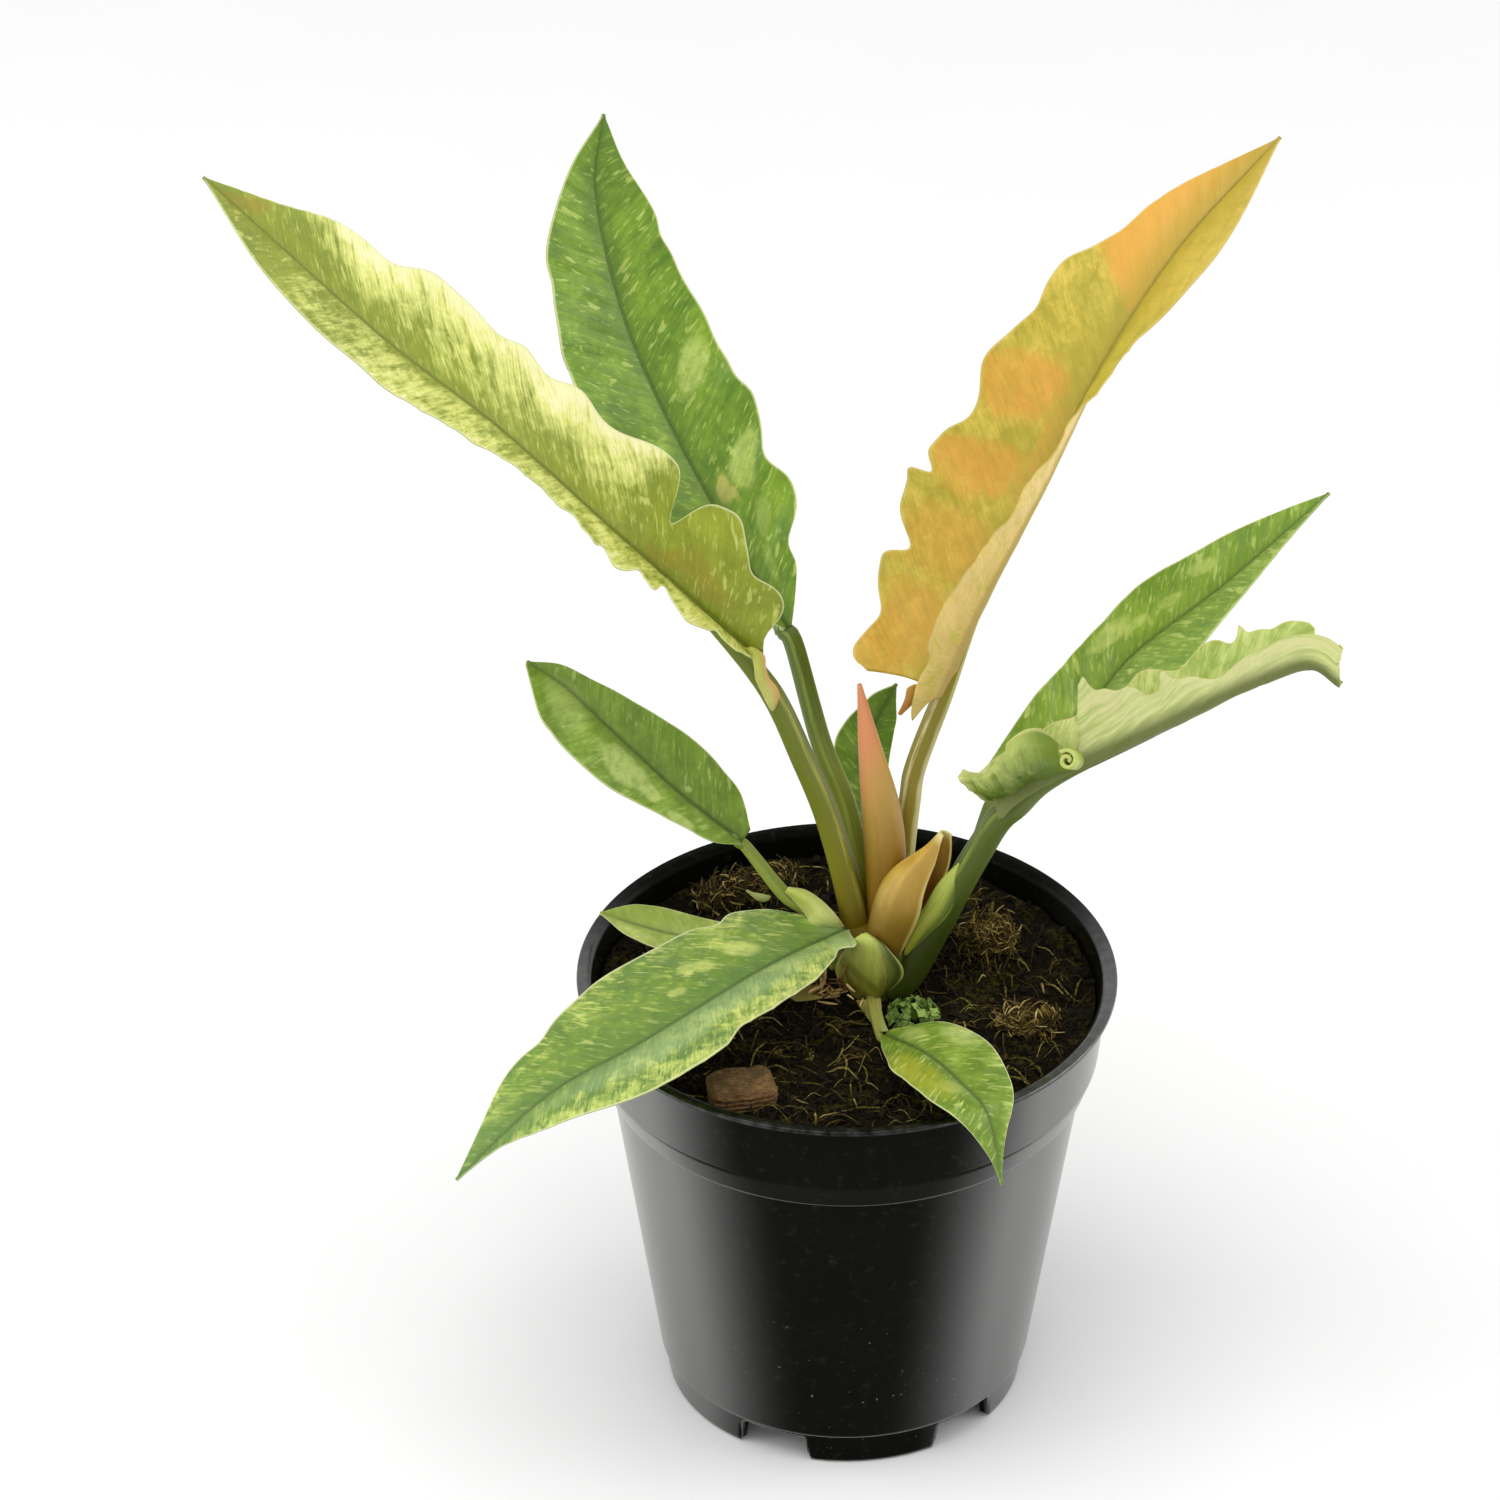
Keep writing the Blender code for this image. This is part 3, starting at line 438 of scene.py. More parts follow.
def paintPot(paint):
    place = objectPlace(paint)
    scuff = noise(paint, place, 0.35, 4, 0.6)
    specks = noise(paint, place, 1.1, 1, 0.4).ease(0.76, 0.80)
    cloudy = noise(paint, place, 0.045, 3)
    parts = paint.node("ShaderNodeSeparateXYZ", None, {"Vector": place})
    aside, depth, height = (Wire(parts.tree, parts.socket.node.outputs[axis]) for axis in range(3))
    # painted sheen: the coat on the lip's top is placed by position, strong at the left and right sides and none at
    # the front's middle or the back, plus a random scuffed part
    lipSheen = (height.ease(104.9, 105.4) * (1 - depth.ease(-5, 40))
           * ((aside * (1 / 60)) ** 2 * 0.75 + scuff.ease(0.3, 0.8) * 0.3))
    reach = paint.node("ShaderNodeVectorMath", {"operation": "LENGTH"}, {
        0: paint.node("ShaderNodeVectorMath", {"operation": "MULTIPLY"}, {0: place, 1: (1, 1, 0)})}, output=1)
    dusty = specks * (1 - height.ease(10, 60)) * 0.8 + scuff.ease(0.55, 0.9) * 0.08
    colour = dusty.mix(cloudy.mix(tone(6, 8, 3), tone(12, 14, 8)), tone(130, 134, 120))
    grain = noise(paint, place, 2.2, 3, 0.6)
    outside = ((reach - height * 0.1495 - 39.9).ease(0, 0.5) + (reach - 39.0).ease(0, 0.3)
               * (1 - height.ease(7.6, 8.2))) * (1 - height.ease(104.3, 104.8))
    slant = paint.node("ShaderNodeLayerWeight", None, {"Blend": 0.5}, output=1)  # sheen of a slanting look
    slant = slant - height.ease(80.8, 81.6) * (1 - height.ease(88.0, 88.6)) * 0.16 + (grain - 0.5) * 0.02
    return {"Base Color": colour, "Roughness": 0.30 + scuff * 0.16 + dusty * 0.3,
            "Coat Weight": slant.ease(0.325, 0.575) * outside + lipSheen, "Normal": bump(paint, grain + scuff * 0.6, 0.04)}


potPlastic = newMaterial("potPlastic", paintPot, IOR=1.1, Coat_IOR=2.4, Coat_Roughness=0.22,
                         Coat_Tint=(0.9, 1.0, 0.84, 1))
makePot()
print("pot made")


# ---- soil

soil = dict(belowRim=5.7, swell=1.2, dip=1.0, stemPlace=(8, 7), rows=84, cols=240,
            lumps=3.0, crumbs=900, fibres=1300, seed=5)


# Height of the bed: level, dipped towards the stem, with low uneven swells.
def bedHeight(x, y):
    away = np.hypot(x - soil["stemPlace"][0], y - soil["stemPlace"][1])
    swell = (np.sin(0.31 * x + 0.4) * np.cos(0.27 * y - 0.6) + 0.6 * np.sin(0.21 * x - 0.37 * y)) / 1.6
    calm = 1 - np.exp(-(away / 26) ** 2)
    return pot["height"] - soil["belowRim"] - soil["dip"] * (1 - calm) + soil["swell"] * swell * calm


# The bed's height with its lumps: value noise whose high parts are raised more than the low ones.
def soilHeight(x, y):
    flat = np.stack([x, y, np.zeros_like(x)], axis=-1)
    rough = lumpy(flat, 6.0, soil["seed"], 4)
    return bedHeight(x, y) + soil["lumps"] * (0.5 * rough + 0.7 * np.maximum(rough, 0) ** 1.5 - 0.12)


# Rings from the middle of the top out to the wall, then down the wall and in under the bottom.
def makeSoil():
    angle = np.arange(soil["cols"]) * tau / soil["cols"]
    edge = np.interp(pot["height"] - soil["belowRim"], (pot["creaseHeight"] + 1.6, pot["height"] - 1.2),
                     (54.6, 56.4)) - 0.6
    radius = np.linspace(0.4, edge, soil["rows"])[:, None]
    x, y = radius * np.sin(angle), -radius * np.cos(angle)
    rings = np.stack([x, y, soilHeight(x, y)], axis=-1)
    side = np.array([(53.9, 90), (50.6, 81), (39.7, 11), (0.4, 10.6)])[:, None]
    low = np.stack([side[..., 0] * np.sin(angle), -side[..., 0] * np.cos(angle),
                    np.broadcast_to(side[..., 1], (len(side), len(angle)))], axis=-1)
    skin("soilBed", np.concatenate([rings, low]), soilEarth, ["soil"])


# Crumbs: small rough balls, each a stack of rings, scattered over the bed.
def makeCrumbs():
    draw = np.random.default_rng(soil["seed"])
    count = soil["crumbs"]
    radius = 54.5 * np.sqrt(draw.uniform(0.01, 1, count))
    turn = draw.uniform(0, tau, count)
    x, y = radius * np.sin(turn), -radius * np.cos(turn)
    size = draw.uniform(0.35, 1.0, (count, 3)) * draw.uniform(0.5, 1.35, count)[:, None] ** 1.5
    polar = np.linspace(0.12, pi - 0.12, 6)[:, None]
    angle = np.arange(8) * tau / 8
    ball = np.stack([np.sin(polar) * np.cos(angle), np.sin(polar) * np.sin(angle),
                     np.cos(polar) + 0 * angle], axis=-1)
    ball = ball * (1 + draw.uniform(-0.42, 0.42, (count, 6, 8, 1)))
    centre = np.stack([x, y, soilHeight(x, y) + 0.25 * size[:, 2]], axis=1)
    rings = ball * size[:, None, None] + centre[:, None, None]
    skin("soilCrumbs", rings, soilBits, marks={"kind": draw.uniform(0, 0.8, count) ** 1.6})


# Thin round threads: each path is a gentle arc with a sideways wave, and a ring of four points
# stands square to it at each step. paths has the shape threads, steps, 3.
def threads(name, paths, radii, kinds, material):
    ahead = unit(np.gradient(paths, axis=1))
    aside = unit(np.cross(ahead, np.array([0.13, 0.21, 1.0])))
    up = np.cross(aside, ahead)
    angle = np.arange(4) * tau / 4
    steps = paths.shape[1]
    taper = np.sqrt(np.sin(np.linspace(0.12, pi - 0.12, steps)))
    radius = radii[:, None, None, None] * taper[None, :, None, None]
    rings = paths[:, :, None] + radius * (np.cos(angle)[:, None] * aside[:, :, None]
                                          + np.sin(angle)[:, None] * up[:, :, None])
    skin(name, rings, material, marks={"kind": kinds})


# Fibres that lie over the bed: headings at random, bent by up to a right angle, ends low.
def makeFibres():
    draw = np.random.default_rng(soil["seed"] + 1)
    count, steps = soil["fibres"], 8
    length = draw.uniform(3, 13, count)
    radius = 52 * np.sqrt(draw.uniform(0.02, 1, count))
    turn = draw.uniform(0, tau, count)
    middle = np.stack([radius * np.sin(turn), -radius * np.cos(turn)], axis=1)
    share = np.linspace(-0.5, 0.5, steps)
    heading = draw.uniform(0, tau, count)[:, None] + draw.uniform(-1.6, 1.6, count)[:, None] * share
    step = np.stack([np.cos(heading), np.sin(heading)], axis=-1) * (length / steps)[:, None, None]
    flat = middle[:, None] + np.cumsum(step, axis=1) - np.sum(step, axis=1, keepdims=True) / 2
    away = np.linalg.norm(flat, axis=-1, keepdims=True)
    flat = flat * np.minimum(1, 54.3 / away)
    lift = draw.uniform(-0.3, 2.4, count)[:, None] * np.cos(pi * share) ** 2
    height = soilHeight(flat[..., 0], flat[..., 1]) + 0.15 + lift
    paths = np.concatenate([flat, height[..., None]], axis=-1)
    threads("soilFibres", paths, draw.uniform(0.1, 0.32, count), draw.uniform(0, 1, count), soilBits)


def paintEarth(paint):
    place = objectPlace(paint)
    broad = noise(paint, place, 0.09, 3)
    fine = noise(paint, place, 0.9, 5, 0.65)
    grit = noise(paint, place, 2.6, 3, 0.7)
    dark = fine.ease(0.35, 0.8).mix(tone(9, 7, 2), tone(46, 36, 12))
    mossy = broad.ease(0.48, 0.6) * fine.ease(0.42, 0.6)
    pale = grit.ease(0.66, 0.74) * broad.ease(0.35, 0.6)
    colour = pale.mix((mossy * 0.8).mix(dark, tone(70, 66, 12)), tone(122, 104, 52))
    return {"Base Color": colour, "Roughness": 0.75 + grit * 0.25,
            "Normal": bump(paint, fine + grit * 0.5, 0.9)}


def paintBits(paint):
    kind = markValue(paint, "kind")
    place = objectPlace(paint)
    shade = noise(paint, place, 1.3, 3, 0.6)
    colour = paint.node("ShaderNodeValToRGB", {"stops": [
        (0.0, tone(14, 10, 4)), (1.0, tone(168, 146, 88)), (0.45, tone(38, 28, 10)), (0.7, tone(78, 62, 24)),
        (0.85, tone(104, 98, 34))]}, {"Fac": kind * 0.95 + (shade - 0.5) * 0.8})
    return {"Base Color": colour, "Roughness": 0.7 + shade * 0.3, "Normal": bump(paint, shade, 0.3)}


soilEarth = newMaterial("soilEarth", paintEarth, Specular_IOR_Level=0.12)
soilBits = newMaterial("soilBits", paintBits, Specular_IOR_Level=0.2)
makeSoil()
makeCrumbs()
makeFibres()
print("soil made")


# ---- chip, moss and weed

chip = dict(place=(-23.5, -38), size=(14, 11, 5.5), turn=12, seat=1.6)
mossClumps = (
    dict(place=(32, 18), size=(13, 11, 8), turn=0, threads=480, pale=0.35),
    dict(place=(40, -13), size=(14, 7, 5), turn=0, threads=380, pale=0.2),
    dict(place=(-22, 38.5), size=(28, 9.5, 6.5), turn=25, threads=560, pale=0.0),
)
weed = dict(place=(14.6, -8.4), leaflets=130, reach=5.8, size=1.25, seed=4)


# A block whose rings are rounded squares: a power of cosine and sine near a square, roughened by noise.
def makeChip():
    angle = np.arange(96) * tau / 96
    level = np.linspace(-1, 1, 22)[:, None]
    squareX = np.sign(np.cos(angle)) * np.abs(np.cos(angle)) ** 0.45
    squareY = np.sign(np.sin(angle)) * np.abs(np.sin(angle)) ** 0.45
    inset = (1 - np.abs(level) ** 7) ** 0.3 + 0.02
    x, y = squareX * inset, squareY * inset
    flat = np.stack([x, y, level + 0 * angle], axis=-1) * np.array(chip["size"]) / 2
    layers = 0.35 * np.sin(flat[..., 2] * 5.5 + 2 * lumpy(flat, 4.0, 3))[..., None]
    shape = flat * (1 + 0.10 * lumpy(flat, 3.2, 1, 4)[..., None])
    shape[..., :2] += layers * unit(flat[..., :2] + 1e-6)
    shape[..., 2] += 0.3 * lumpy(flat, 0.9, 8, 2)
    turn = radians(chip["turn"])
    spin = np.array([[cos(turn), sin(turn), 0], [-sin(turn), cos(turn), 0], [0, 0, 1]])
    height = bedHeight(*np.array(chip["place"], float)) - chip["seat"] + chip["size"][2] / 2
    skin("coirChip", shape @ spin + np.array([*chip["place"], height]), chipFibre, ["coir_chip"])


# A clump: a rough low mound, and threads that start on it, curl and stand a little out of it.
def makeMoss():
    for number, clump in enumerate(mossClumps):
        draw = np.random.default_rng(40 + number)
        size = np.array(clump["size"]) / 2
        turn = radians(clump["turn"])
        spin = np.array([[cos(turn), sin(turn), 0], [-sin(turn), cos(turn), 0], [0, 0, 1]])
        base = np.array([*clump["place"], bedHeight(*np.array(clump["place"], float)) - 1.6 + size[2]])
        polar = np.linspace(0.06, pi - 0.06, 40)[:, None]
        angle = np.arange(72) * tau / 72
        ball = np.stack([np.sin(polar) * np.cos(angle), np.sin(polar) * np.sin(angle),
                         np.cos(polar) + 0 * angle], axis=-1)
        mound = ball * size * (0.86 + 0.2 * lumpy(ball * size, 2.6, number, 4)[..., None])
        skin(f"mossMound{number + 1}", mound @ spin + base, mossFelt, [f"moss_clump_{number + 1}"])
        count, steps = clump["threads"], 7
        out = unit(draw.normal(size=(count, 3)) * (1, 1, 0.8) + (0, 0, 0.35))
        out[:, 2] = np.abs(out[:, 2])
        start = out * size * 0.8
        drift = unit(draw.normal(size=(count, 3)))
        curl = unit(np.cross(out, drift))
        share = np.linspace(0, 1, steps)[None, :, None]
        bend = draw.uniform(1.6, 5.0, (count, 1, 1))
        length = draw.uniform(2.0, 6.2, (count, 1, 1))
        paths = start[:, None] + length * (0.55 * out[:, None] * np.sin(bend * share) / bend
                                           + drift[:, None] * share * 0.6
                                           + curl[:, None] * (1 - np.cos(bend * share)) * 0.35)
        threads(f"mossThreads{number + 1}", paths @ spin + base, draw.uniform(0.09, 0.26, count),
                draw.uniform(clump["pale"], 1, count) ** 1.5, mossThread)


# Leaflets on a dome: each a small cupped disc, turned to face outwards and up.
def makeWeed():
    draw = np.random.default_rng(weed["seed"])
    count = weed["leaflets"]
    turn = draw.uniform(0, tau, count)
    reach = weed["reach"] * np.sqrt(draw.uniform(0.02, 1, count))
    x = weed["place"][0] + reach * np.sin(turn)
    y = weed["place"][1] - reach * np.cos(turn)
    height = bedHeight(x, y) + draw.uniform(0, 1.2, count) + 6.0 * (1 - reach / weed["reach"]) * draw.uniform(0, 1, count)
    out = unit(np.stack([np.sin(turn) * (0.3 + reach / 5), -np.cos(turn) * (0.3 + reach / 5),
                         np.full(count, 0.8)], axis=1) + draw.normal(size=(count, 3)) * 0.8)
    ahead = unit(np.cross(out, draw.normal(size=(count, 3))))
    aside = np.cross(ahead, out)
    ring = np.arange(12) * tau / 12
    level = np.array([(0.05, 0.1), (0.7, 0.02), (1.0, 0.14), (1.0, 0.22), (0.7, 0.12), (0.05, 0.2)])
    lobed = 1 + 0.32 * np.cos(4 * ring)
    flatA = level[:, :1] * lobed * np.cos(ring)
    flatB = level[:, :1] * lobed * np.sin(ring)
    size = weed["size"] * draw.uniform(0.6, 1.1, count)[:, None, None, None]
    rings = np.stack([x, y, height], axis=1)[:, None, None] + size * (
        flatA[None, ..., None] * ahead[:, None, None] + flatB[None, ..., None] * aside[:, None, None]
        + level[None, :, 1:, None] * out[:, None, None])
    skin("weedLeaflets", rings, weedGreen, ["weed_tuft"],
         marks={"kind": draw.uniform(0, 1, count)})


def paintChip(paint):
    place = objectPlace(paint)
    stretched = paint.node("ShaderNodeVectorMath", {"operation": "MULTIPLY"}, {0: place, 1: (0.8, 2.4, 3.0)})
    strand = noise(paint, stretched, 1.0, 5, 0.65, 0.6)
    patch = noise(paint, place, 0.22, 3)
    colour = strand.ease(0.3, 0.75).mix(tone(66, 45, 20), tone(168, 128, 74))
    colour = patch.ease(0.45, 0.7).mix(colour, tone(92, 66, 32))
    return {"Base Color": colour, "Roughness": 0.8 + strand * 0.2, "Normal": bump(paint, strand, 0.5)}


def paintFelt(paint):
    place = objectPlace(paint)
    fine = noise(paint, place, 1.6, 5, 0.7)
    colour = fine.ease(0.35, 0.7).mix(tone(36, 28, 8), tone(104, 88, 42))
    return {"Base Color": colour, "Roughness": 0.85 + fine * 0.15, "Normal": bump(paint, fine, 0.8)}


def paintThread(paint):
    kind = markValue(paint, "kind")
    shade = noise(paint, objectPlace(paint), 0.8, 3)
    colour = paint.node("ShaderNodeValToRGB", {"stops": [
        (0.0, tone(34, 26, 8)), (1.0, tone(222, 202, 138)), (0.4, tone(76, 62, 20)),
        (0.7, tone(140, 118, 54))]}, {"Fac": kind * 0.85 + (shade - 0.5) * 0.7})
    return {"Base Color": colour, "Roughness": 0.75 + shade * 0.25}


def paintWeed(paint):
    kind = markValue(paint, "kind")
    shade = noise(paint, objectPlace(paint), 1.2, 2)
    colour = (kind * 0.8 + shade * 0.4).ease(0.1, 1.1).mix(tone(60, 84, 20), tone(146, 172, 84))
    return {"Base Color": colour, "Roughness": 0.5 + shade * 0.2}


chipFibre = newMaterial("chipFibre", paintChip)
mossFelt = newMaterial("mossFelt", paintFelt, Specular_IOR_Level=0.15)
mossThread = newMaterial("mossThread", paintThread, Specular_IOR_Level=0.25)
weedGreen = newMaterial("weedGreen", paintWeed, Specular_IOR_Level=0.2)
makeChip()
makeMoss()
makeWeed()
print("chip, moss and weed made")


# ---- leaves

socketFloor = 109.5
bladeThickness = 0.7

# Each leaf. rib: points along the midrib from the stalk to the tip. faces: where the upper side
# looks, as bearing (0 is to the camera, 90 to the right) and degrees above the horizontal. For
# each half, left and right as seen on the upper side with the tip away, width: at even steps from
# stalk to tip; fold: rise at the rib, and curl: further bend up to the margin, in degrees; sweep:
# how far the margin runs ahead, as a share of the width; lobes: place as a share of the rib,
# height, below nought for a notch, and reach. waves of the margin: number, lift and start as a
# share of a turn. back: how far the margin's start reaches back past the rib's, and over what share.
# stalk: points from its foot up. radii: the stalk's, at its foot and at the blade.
leaves = {
    "leafLeftLong": dict(
        node="leaf_left_long", slot="leaf_cream", radii=(2.8, 2.2),
        rib=((-22, 9, 186), (-52, 7, 219), (-75, 3, 246), (-99, 0, 270), (-135, -4, 311)),
        faces=((82, 45), (84, 45)),
        left=dict(width=(3, 10, 12.5, 14.5, 13, 14, 17.5, 20, 19, 15.5, 0), fold=(12, 5, 3, 3),
                  curl=(5,), sweep=(-0.5, 0, 0, 0, 0, 0),
                  lobes=((0.05, 1, 0.015), (0.08, -2, 0.012), (0.13, 1.5, 0.02), (0.165, -5.5, 0.016),
                         (0.19, 1, 0.01), (0.215, -3, 0.012), (0.25, 1.2, 0.012), (0.28, -2.5, 0.012),
                         (0.305, 1, 0.01), (0.345, -3.5, 0.016), (0.385, -4.5, 0.03), (0.49, -2.5, 0.04),
                         (0.64, -2, 0.035))),
        right=dict(width=(6, 15.5, 20, 21.5, 23, 24, 25, 21, 16.5, 8, 0),
                   fold=(62, 61, 46, 18, 14, 12, 10, 10, 10, 10, 10), curl=(12,),
                   sweep=(-0.5, -0.15, 0.1, 0, 0, 0, 0, 0, 0, 0, 0),
                   back=(2.8, 0.007), lobes=((0, -5, 0.015), (0.04, 3, 0.03), (0.085, -1.5, 0.018), (0.138, 2, 0.018), (0.19, -10, 0.015),
                          (0.42, -2, 0.03), (0.515, -4, 0.035), (0.69, -2, 0.035))),
        waves=(7, 0.9, 0.2), rows=1.4, radiiScale=(1.15, 1.0), keelStart=0.3, joint="straight",
        stalk=((1.5, 7, socketFloor), (1.6, 7, 118), (-4, 8.2, 141), (-9.7, 8.6, 157), (-17.6, 8.8, 176)),
        look=dict(deep=(120, 132, 16), green=(162, 172, 46), cream=(222, 224, 128), pale=(238, 234, 182),
                  under=(186, 198, 100), keel=(110, 118, 40), wash=((0.55, 0.2), (0.12, 0.98)),
                  span=(0.19, 0.27, 0.72, 0.95), flecks=(0.09, 0.45), rib=(0.5, 0.45),
                  blush=(160, 124, 24), blushes=((0.12, 0.28, 0.06, 0.18, 0.4, 0.9), (0.17, 0.18, 0.03, 0.14, 0.45, 0.8),
                                                 (0.945, 0.3, 0.03, 0.6, 0.6, 0.6)))),
    "leafTallGreen": dict(
        node="leaf_tall_green", slot="leaf_green", radii=(2.6, 2.1),
        rib=((-13, 24, 182), (-25, 34, 198), (-41, 47, 225), (-50, 54, 247), (-55, 58, 273),
             (-53, 60, 290)),
        faces=((40, 35), (35, 30), (30, 25)),
        left=dict(width=(1.2, 12, 18, 20, 21.5, 21, 20.5, 18, 16, 7.5, 0), fold=(8,), curl=(8,),
                  sweep=(0,),
                  lobes=((0.16, -2.5, 0.035), (0.3, -2.5, 0.04), (0.57, -1.5, 0.035), (0.74, -1, 0.03))),
        right=dict(width=(0.8, 11, 18.5, 19, 20, 18, 16.5, 14.5, 12.2, 7, 0), fold=(8,), curl=(8,),
                   sweep=(-0.1, 0, 0, 0, 0, 0),
                   lobes=((0.13, -3, 0.03), (0.275, -3.5, 0.04), (0.43, -1.5, 0.03), (0.74, -1, 0.03))),
        waves=(6, 0.9, 0.0),
        stalk=((4, 14.5, socketFloor), (3.6, 14.5, 118), (-0.3, 15.5, 140), (-6, 18, 156)),
        look=dict(deep=(78, 114, 22), green=(142, 174, 50), cream=(190, 206, 108), under=(140, 166, 84), shear=-0.1,
                  wash=((0.06, 0.1), (0.0, 0.08)), flecks=(0.09, 0.62), rib=(0.5, 0.5),
                  patches=((0.487, 0.58, 0.034, 0.3, 0.8, 0.6), (0.29, 0.66, 0.036, 0.26, 0.7, 0.6),
                           (0.19, 0.5, 0.03, 0.12, 0.35, 0.6), (0.11, 0.45, 0.03, 0.12, 0.3, 0.6)),
                  blush=(196, 186, 104), blushes=((0.266, 0.24, 0.022, 0.12, 0.9, 0.7), (0.25, 0.33, 0.015, 0.06, 0.8, 0.7)))),
    "leafOrange": dict(
        node="leaf_orange", slot="leaf_orange", radii=(2.7, 2.1),
        rib=((19.4, 18, 169), (28.3, 19, 191), (41.2, 20, 220), (53.2, 21, 249), (69.3, 21, 279),
             (90, 20, 307)),
        faces=((-80, 35),),
        left=dict(width=(20, 25, 29, 28.5, 24.5, 24, 21, 15.6, 11.4, 5.8, 0), fold=(35, 35, 30),
                  curl=(10,), sweep=(-0.4, 0, 0, 0, 0, 0),
                  lobes=((0, -3, 0.006), (0.022, 2, 0.018), (0.075, -3, 0.022), (0.142, 1.5, 0.012), (0.16, -7, 0.02),
                         (0.245, 1.5, 0.01), (0.262, -4.5, 0.014),
                         (0.37, -2.5, 0.035), (0.46, 1, 0.04), (0.57, -2, 0.03), (0.65, 2.5, 0.035),
                         (0.74, -1, 0.03))),
        right=dict(width=(7, 16.5, 21.5, 22.5, 20, 17.5, 15, 15, 21.5, 17.5, 0),
                   fold=(35, 38, 30, 20, 5, 5, 5), curl=(10,), sweep=(-0.8, 0, 0, 0, 0, 0),
                   lobes=((0.105, -4.5, 0.025), (0.205, -2.5, 0.025), (0.3, -4.5, 0.03),
                          (0.45, -3, 0.03), (0.6, -3, 0.03))),
        waves=(8, 0.7, 0.0), rows=1.5, joint="straight", keelStart=0.35,
        stalk=((11, 15, socketFloor), (11.6, 15, 118), (13.7, 15.8, 141), (15.6, 17, 152)),
        look=dict(deep=(168, 150, 36), green=(204, 186, 66), cream=(222, 190, 84), under=(232, 196, 130),
                  keel=(190, 166, 96), wash=((0.25, 0.25), (0.05, 0.1)), flecks=(0.0, 0.3), rib=(0.9, 0.75), comb=0.55,
                  flush=(224, 164, 62), margin=(214, 190, 112), blush=(228, 158, 62),
                  blushes=((0.467, -0.6, 0.055, 0.45, 0.75, 0.6), (0.32, -0.6, 0.05, 0.4, 0.8, 0.6),
                           (0.2, -0.45, 0.05, 0.5, 0.5, 0.7), (0.06, -0.65, 0.07, 0.5, 0.6, 0.7),
                           (0.4, -0.12, 0.09, 0.12, 0.6, 0.7)))),
    "leafRightGreen": dict(
        node="leaf_right_green", slot="leaf_green", radii=(2.4, 1.8),
        rib=((34, 20, 142), (50, 26, 155), (63, 30, 171), (83, 34, 187), (105, 36, 209)),
        faces=((-66, 50),),
        left=dict(width=(6, 9.5, 13, 12, 12, 12.7, 12.5, 10.8, 7.8, 4.2, 0), fold=(10,), curl=(10,),
                  sweep=(-0.3, 0, 0, 0, 0, 0)),
        right=dict(width=(4, 12, 17, 19.5, 22.8, 20, 15.7, 10.8, 6.4, 3, 0), fold=(10,), curl=(10,),
                   sweep=(-0.3, 0, 0, 0, 0, 0)),
        waves=(4, 0.4, 0.0),
        stalk=((16, 9.5, socketFloor), (20.5, 10, 117), (28.5, 14, 129)),
        look=dict(deep=(98, 136, 30), green=(158, 188, 66), cream=(200, 214, 118), under=(150, 176, 90),
                  wash=((0.02, 0.12), (0.22, 0.05)), flecks=(0.12, 0.6), rib=(0.45, 0.45),
                  patches=((0.407, -0.68, 0.05, 0.2, 0.75, 0.6), (0.47, -0.45, 0.03, 0.1, 0.6, 0.5),
                           (0.56, -0.4, 0.03, 0.1, 0.5, 0.5), (0.66, -0.62, 0.035, 0.16, 0.6, 0.6)))),
    "leafRightCurled": dict(
        node="leaf_right_curled", slot="leaf_pale", radii=(3.4, 2.9),
        rib=((32.8, 0, 153), (49.6, -2, 162.9), (63.6, -4, 171.9), (73.6, -6, 178.9), (87.6, -8, 187.8),
             (98.8, -10, 193.5), (105.5, -12, 190)),
        faces=((-90, 60), (-90, 65)),
        left=dict(width=(6, 9, 10, 11, 12, 12, 10.5, 12.5, 11, 9.5, 0.5), fold=(45,), curl=(10,),
                  sweep=(-0.8, -0.2, 0, 0, 0, 0, 0, 0, 0, 0.1, 0.1),
                  lobes=((0.73, -1.5, 0.02), (0.765, 2.2, 0.01), (0.84, -1, 0.02)), gaps=((0.91, 1.1, 1.0),)),
        right=dict(width=(3, 12, 21, 18, 13.5, 10.5, 9.5, 6, 8.5, 10, 12.5), fold=(78,), curl=(5,), power=1,
                   sweep=(0, 0.5, 0.58, 0.58, 0.5, 0.4, 0.3, 0.1, 0, -0.1, -0.5),
                   lobes=((0.252, 1.5, 0.012), (0.29, -1.5, 0.02), (0.46, -1, 0.02), (0.53, 4, 0.017),
                          (0.58, -1, 0.02), (0.95, 1, 0.03)), gaps=((-0.1, 0.232, 3.0),)),
        waves=(6, 1.0, 0.0), rows=1.6, joint="straight", radiiScale=(1.25, 1.05, 1.0, 1.0),
        stalk=((9.0, 1, 103), (12.9, 0.5, 106.3), (18.7, 0.3, 117.2), (23.7, 0, 128.2), (28.8, 0, 139.1),
               (33, -0.5, 147.5), (37.1, -1, 151.7)),
        look=dict(deep=(146, 168, 70), green=(190, 206, 108), cream=(212, 218, 142), under=(222, 226, 158),
                  underStreak=(172, 186, 96), grain=(0.97, 0.24), keel=(84, 96, 26), wash=((0.4, 0.2), (0.3, 0.2)),
                  flecks=(0.06, 0.5), rib=(0.3, 0.4), margin=(206, 196, 128), tint=(214, 184, 134))),
    "leafLeftSmall": dict(
        node="leaf_left_small", slot="leaf_green", radii=(2.0, 1.2),
        rib=((-23, 14, 132), (-37, 14, 145), (-54, 14, 164), (-62, 14, 173), (-70, 13, 180)),
        faces=((35, 50),),
        left=dict(width=(1, 5, 6.2, 7.6, 9.6, 11.3, 12, 12.3, 11.7, 9.8, 1), fold=(0,), curl=(5,)),
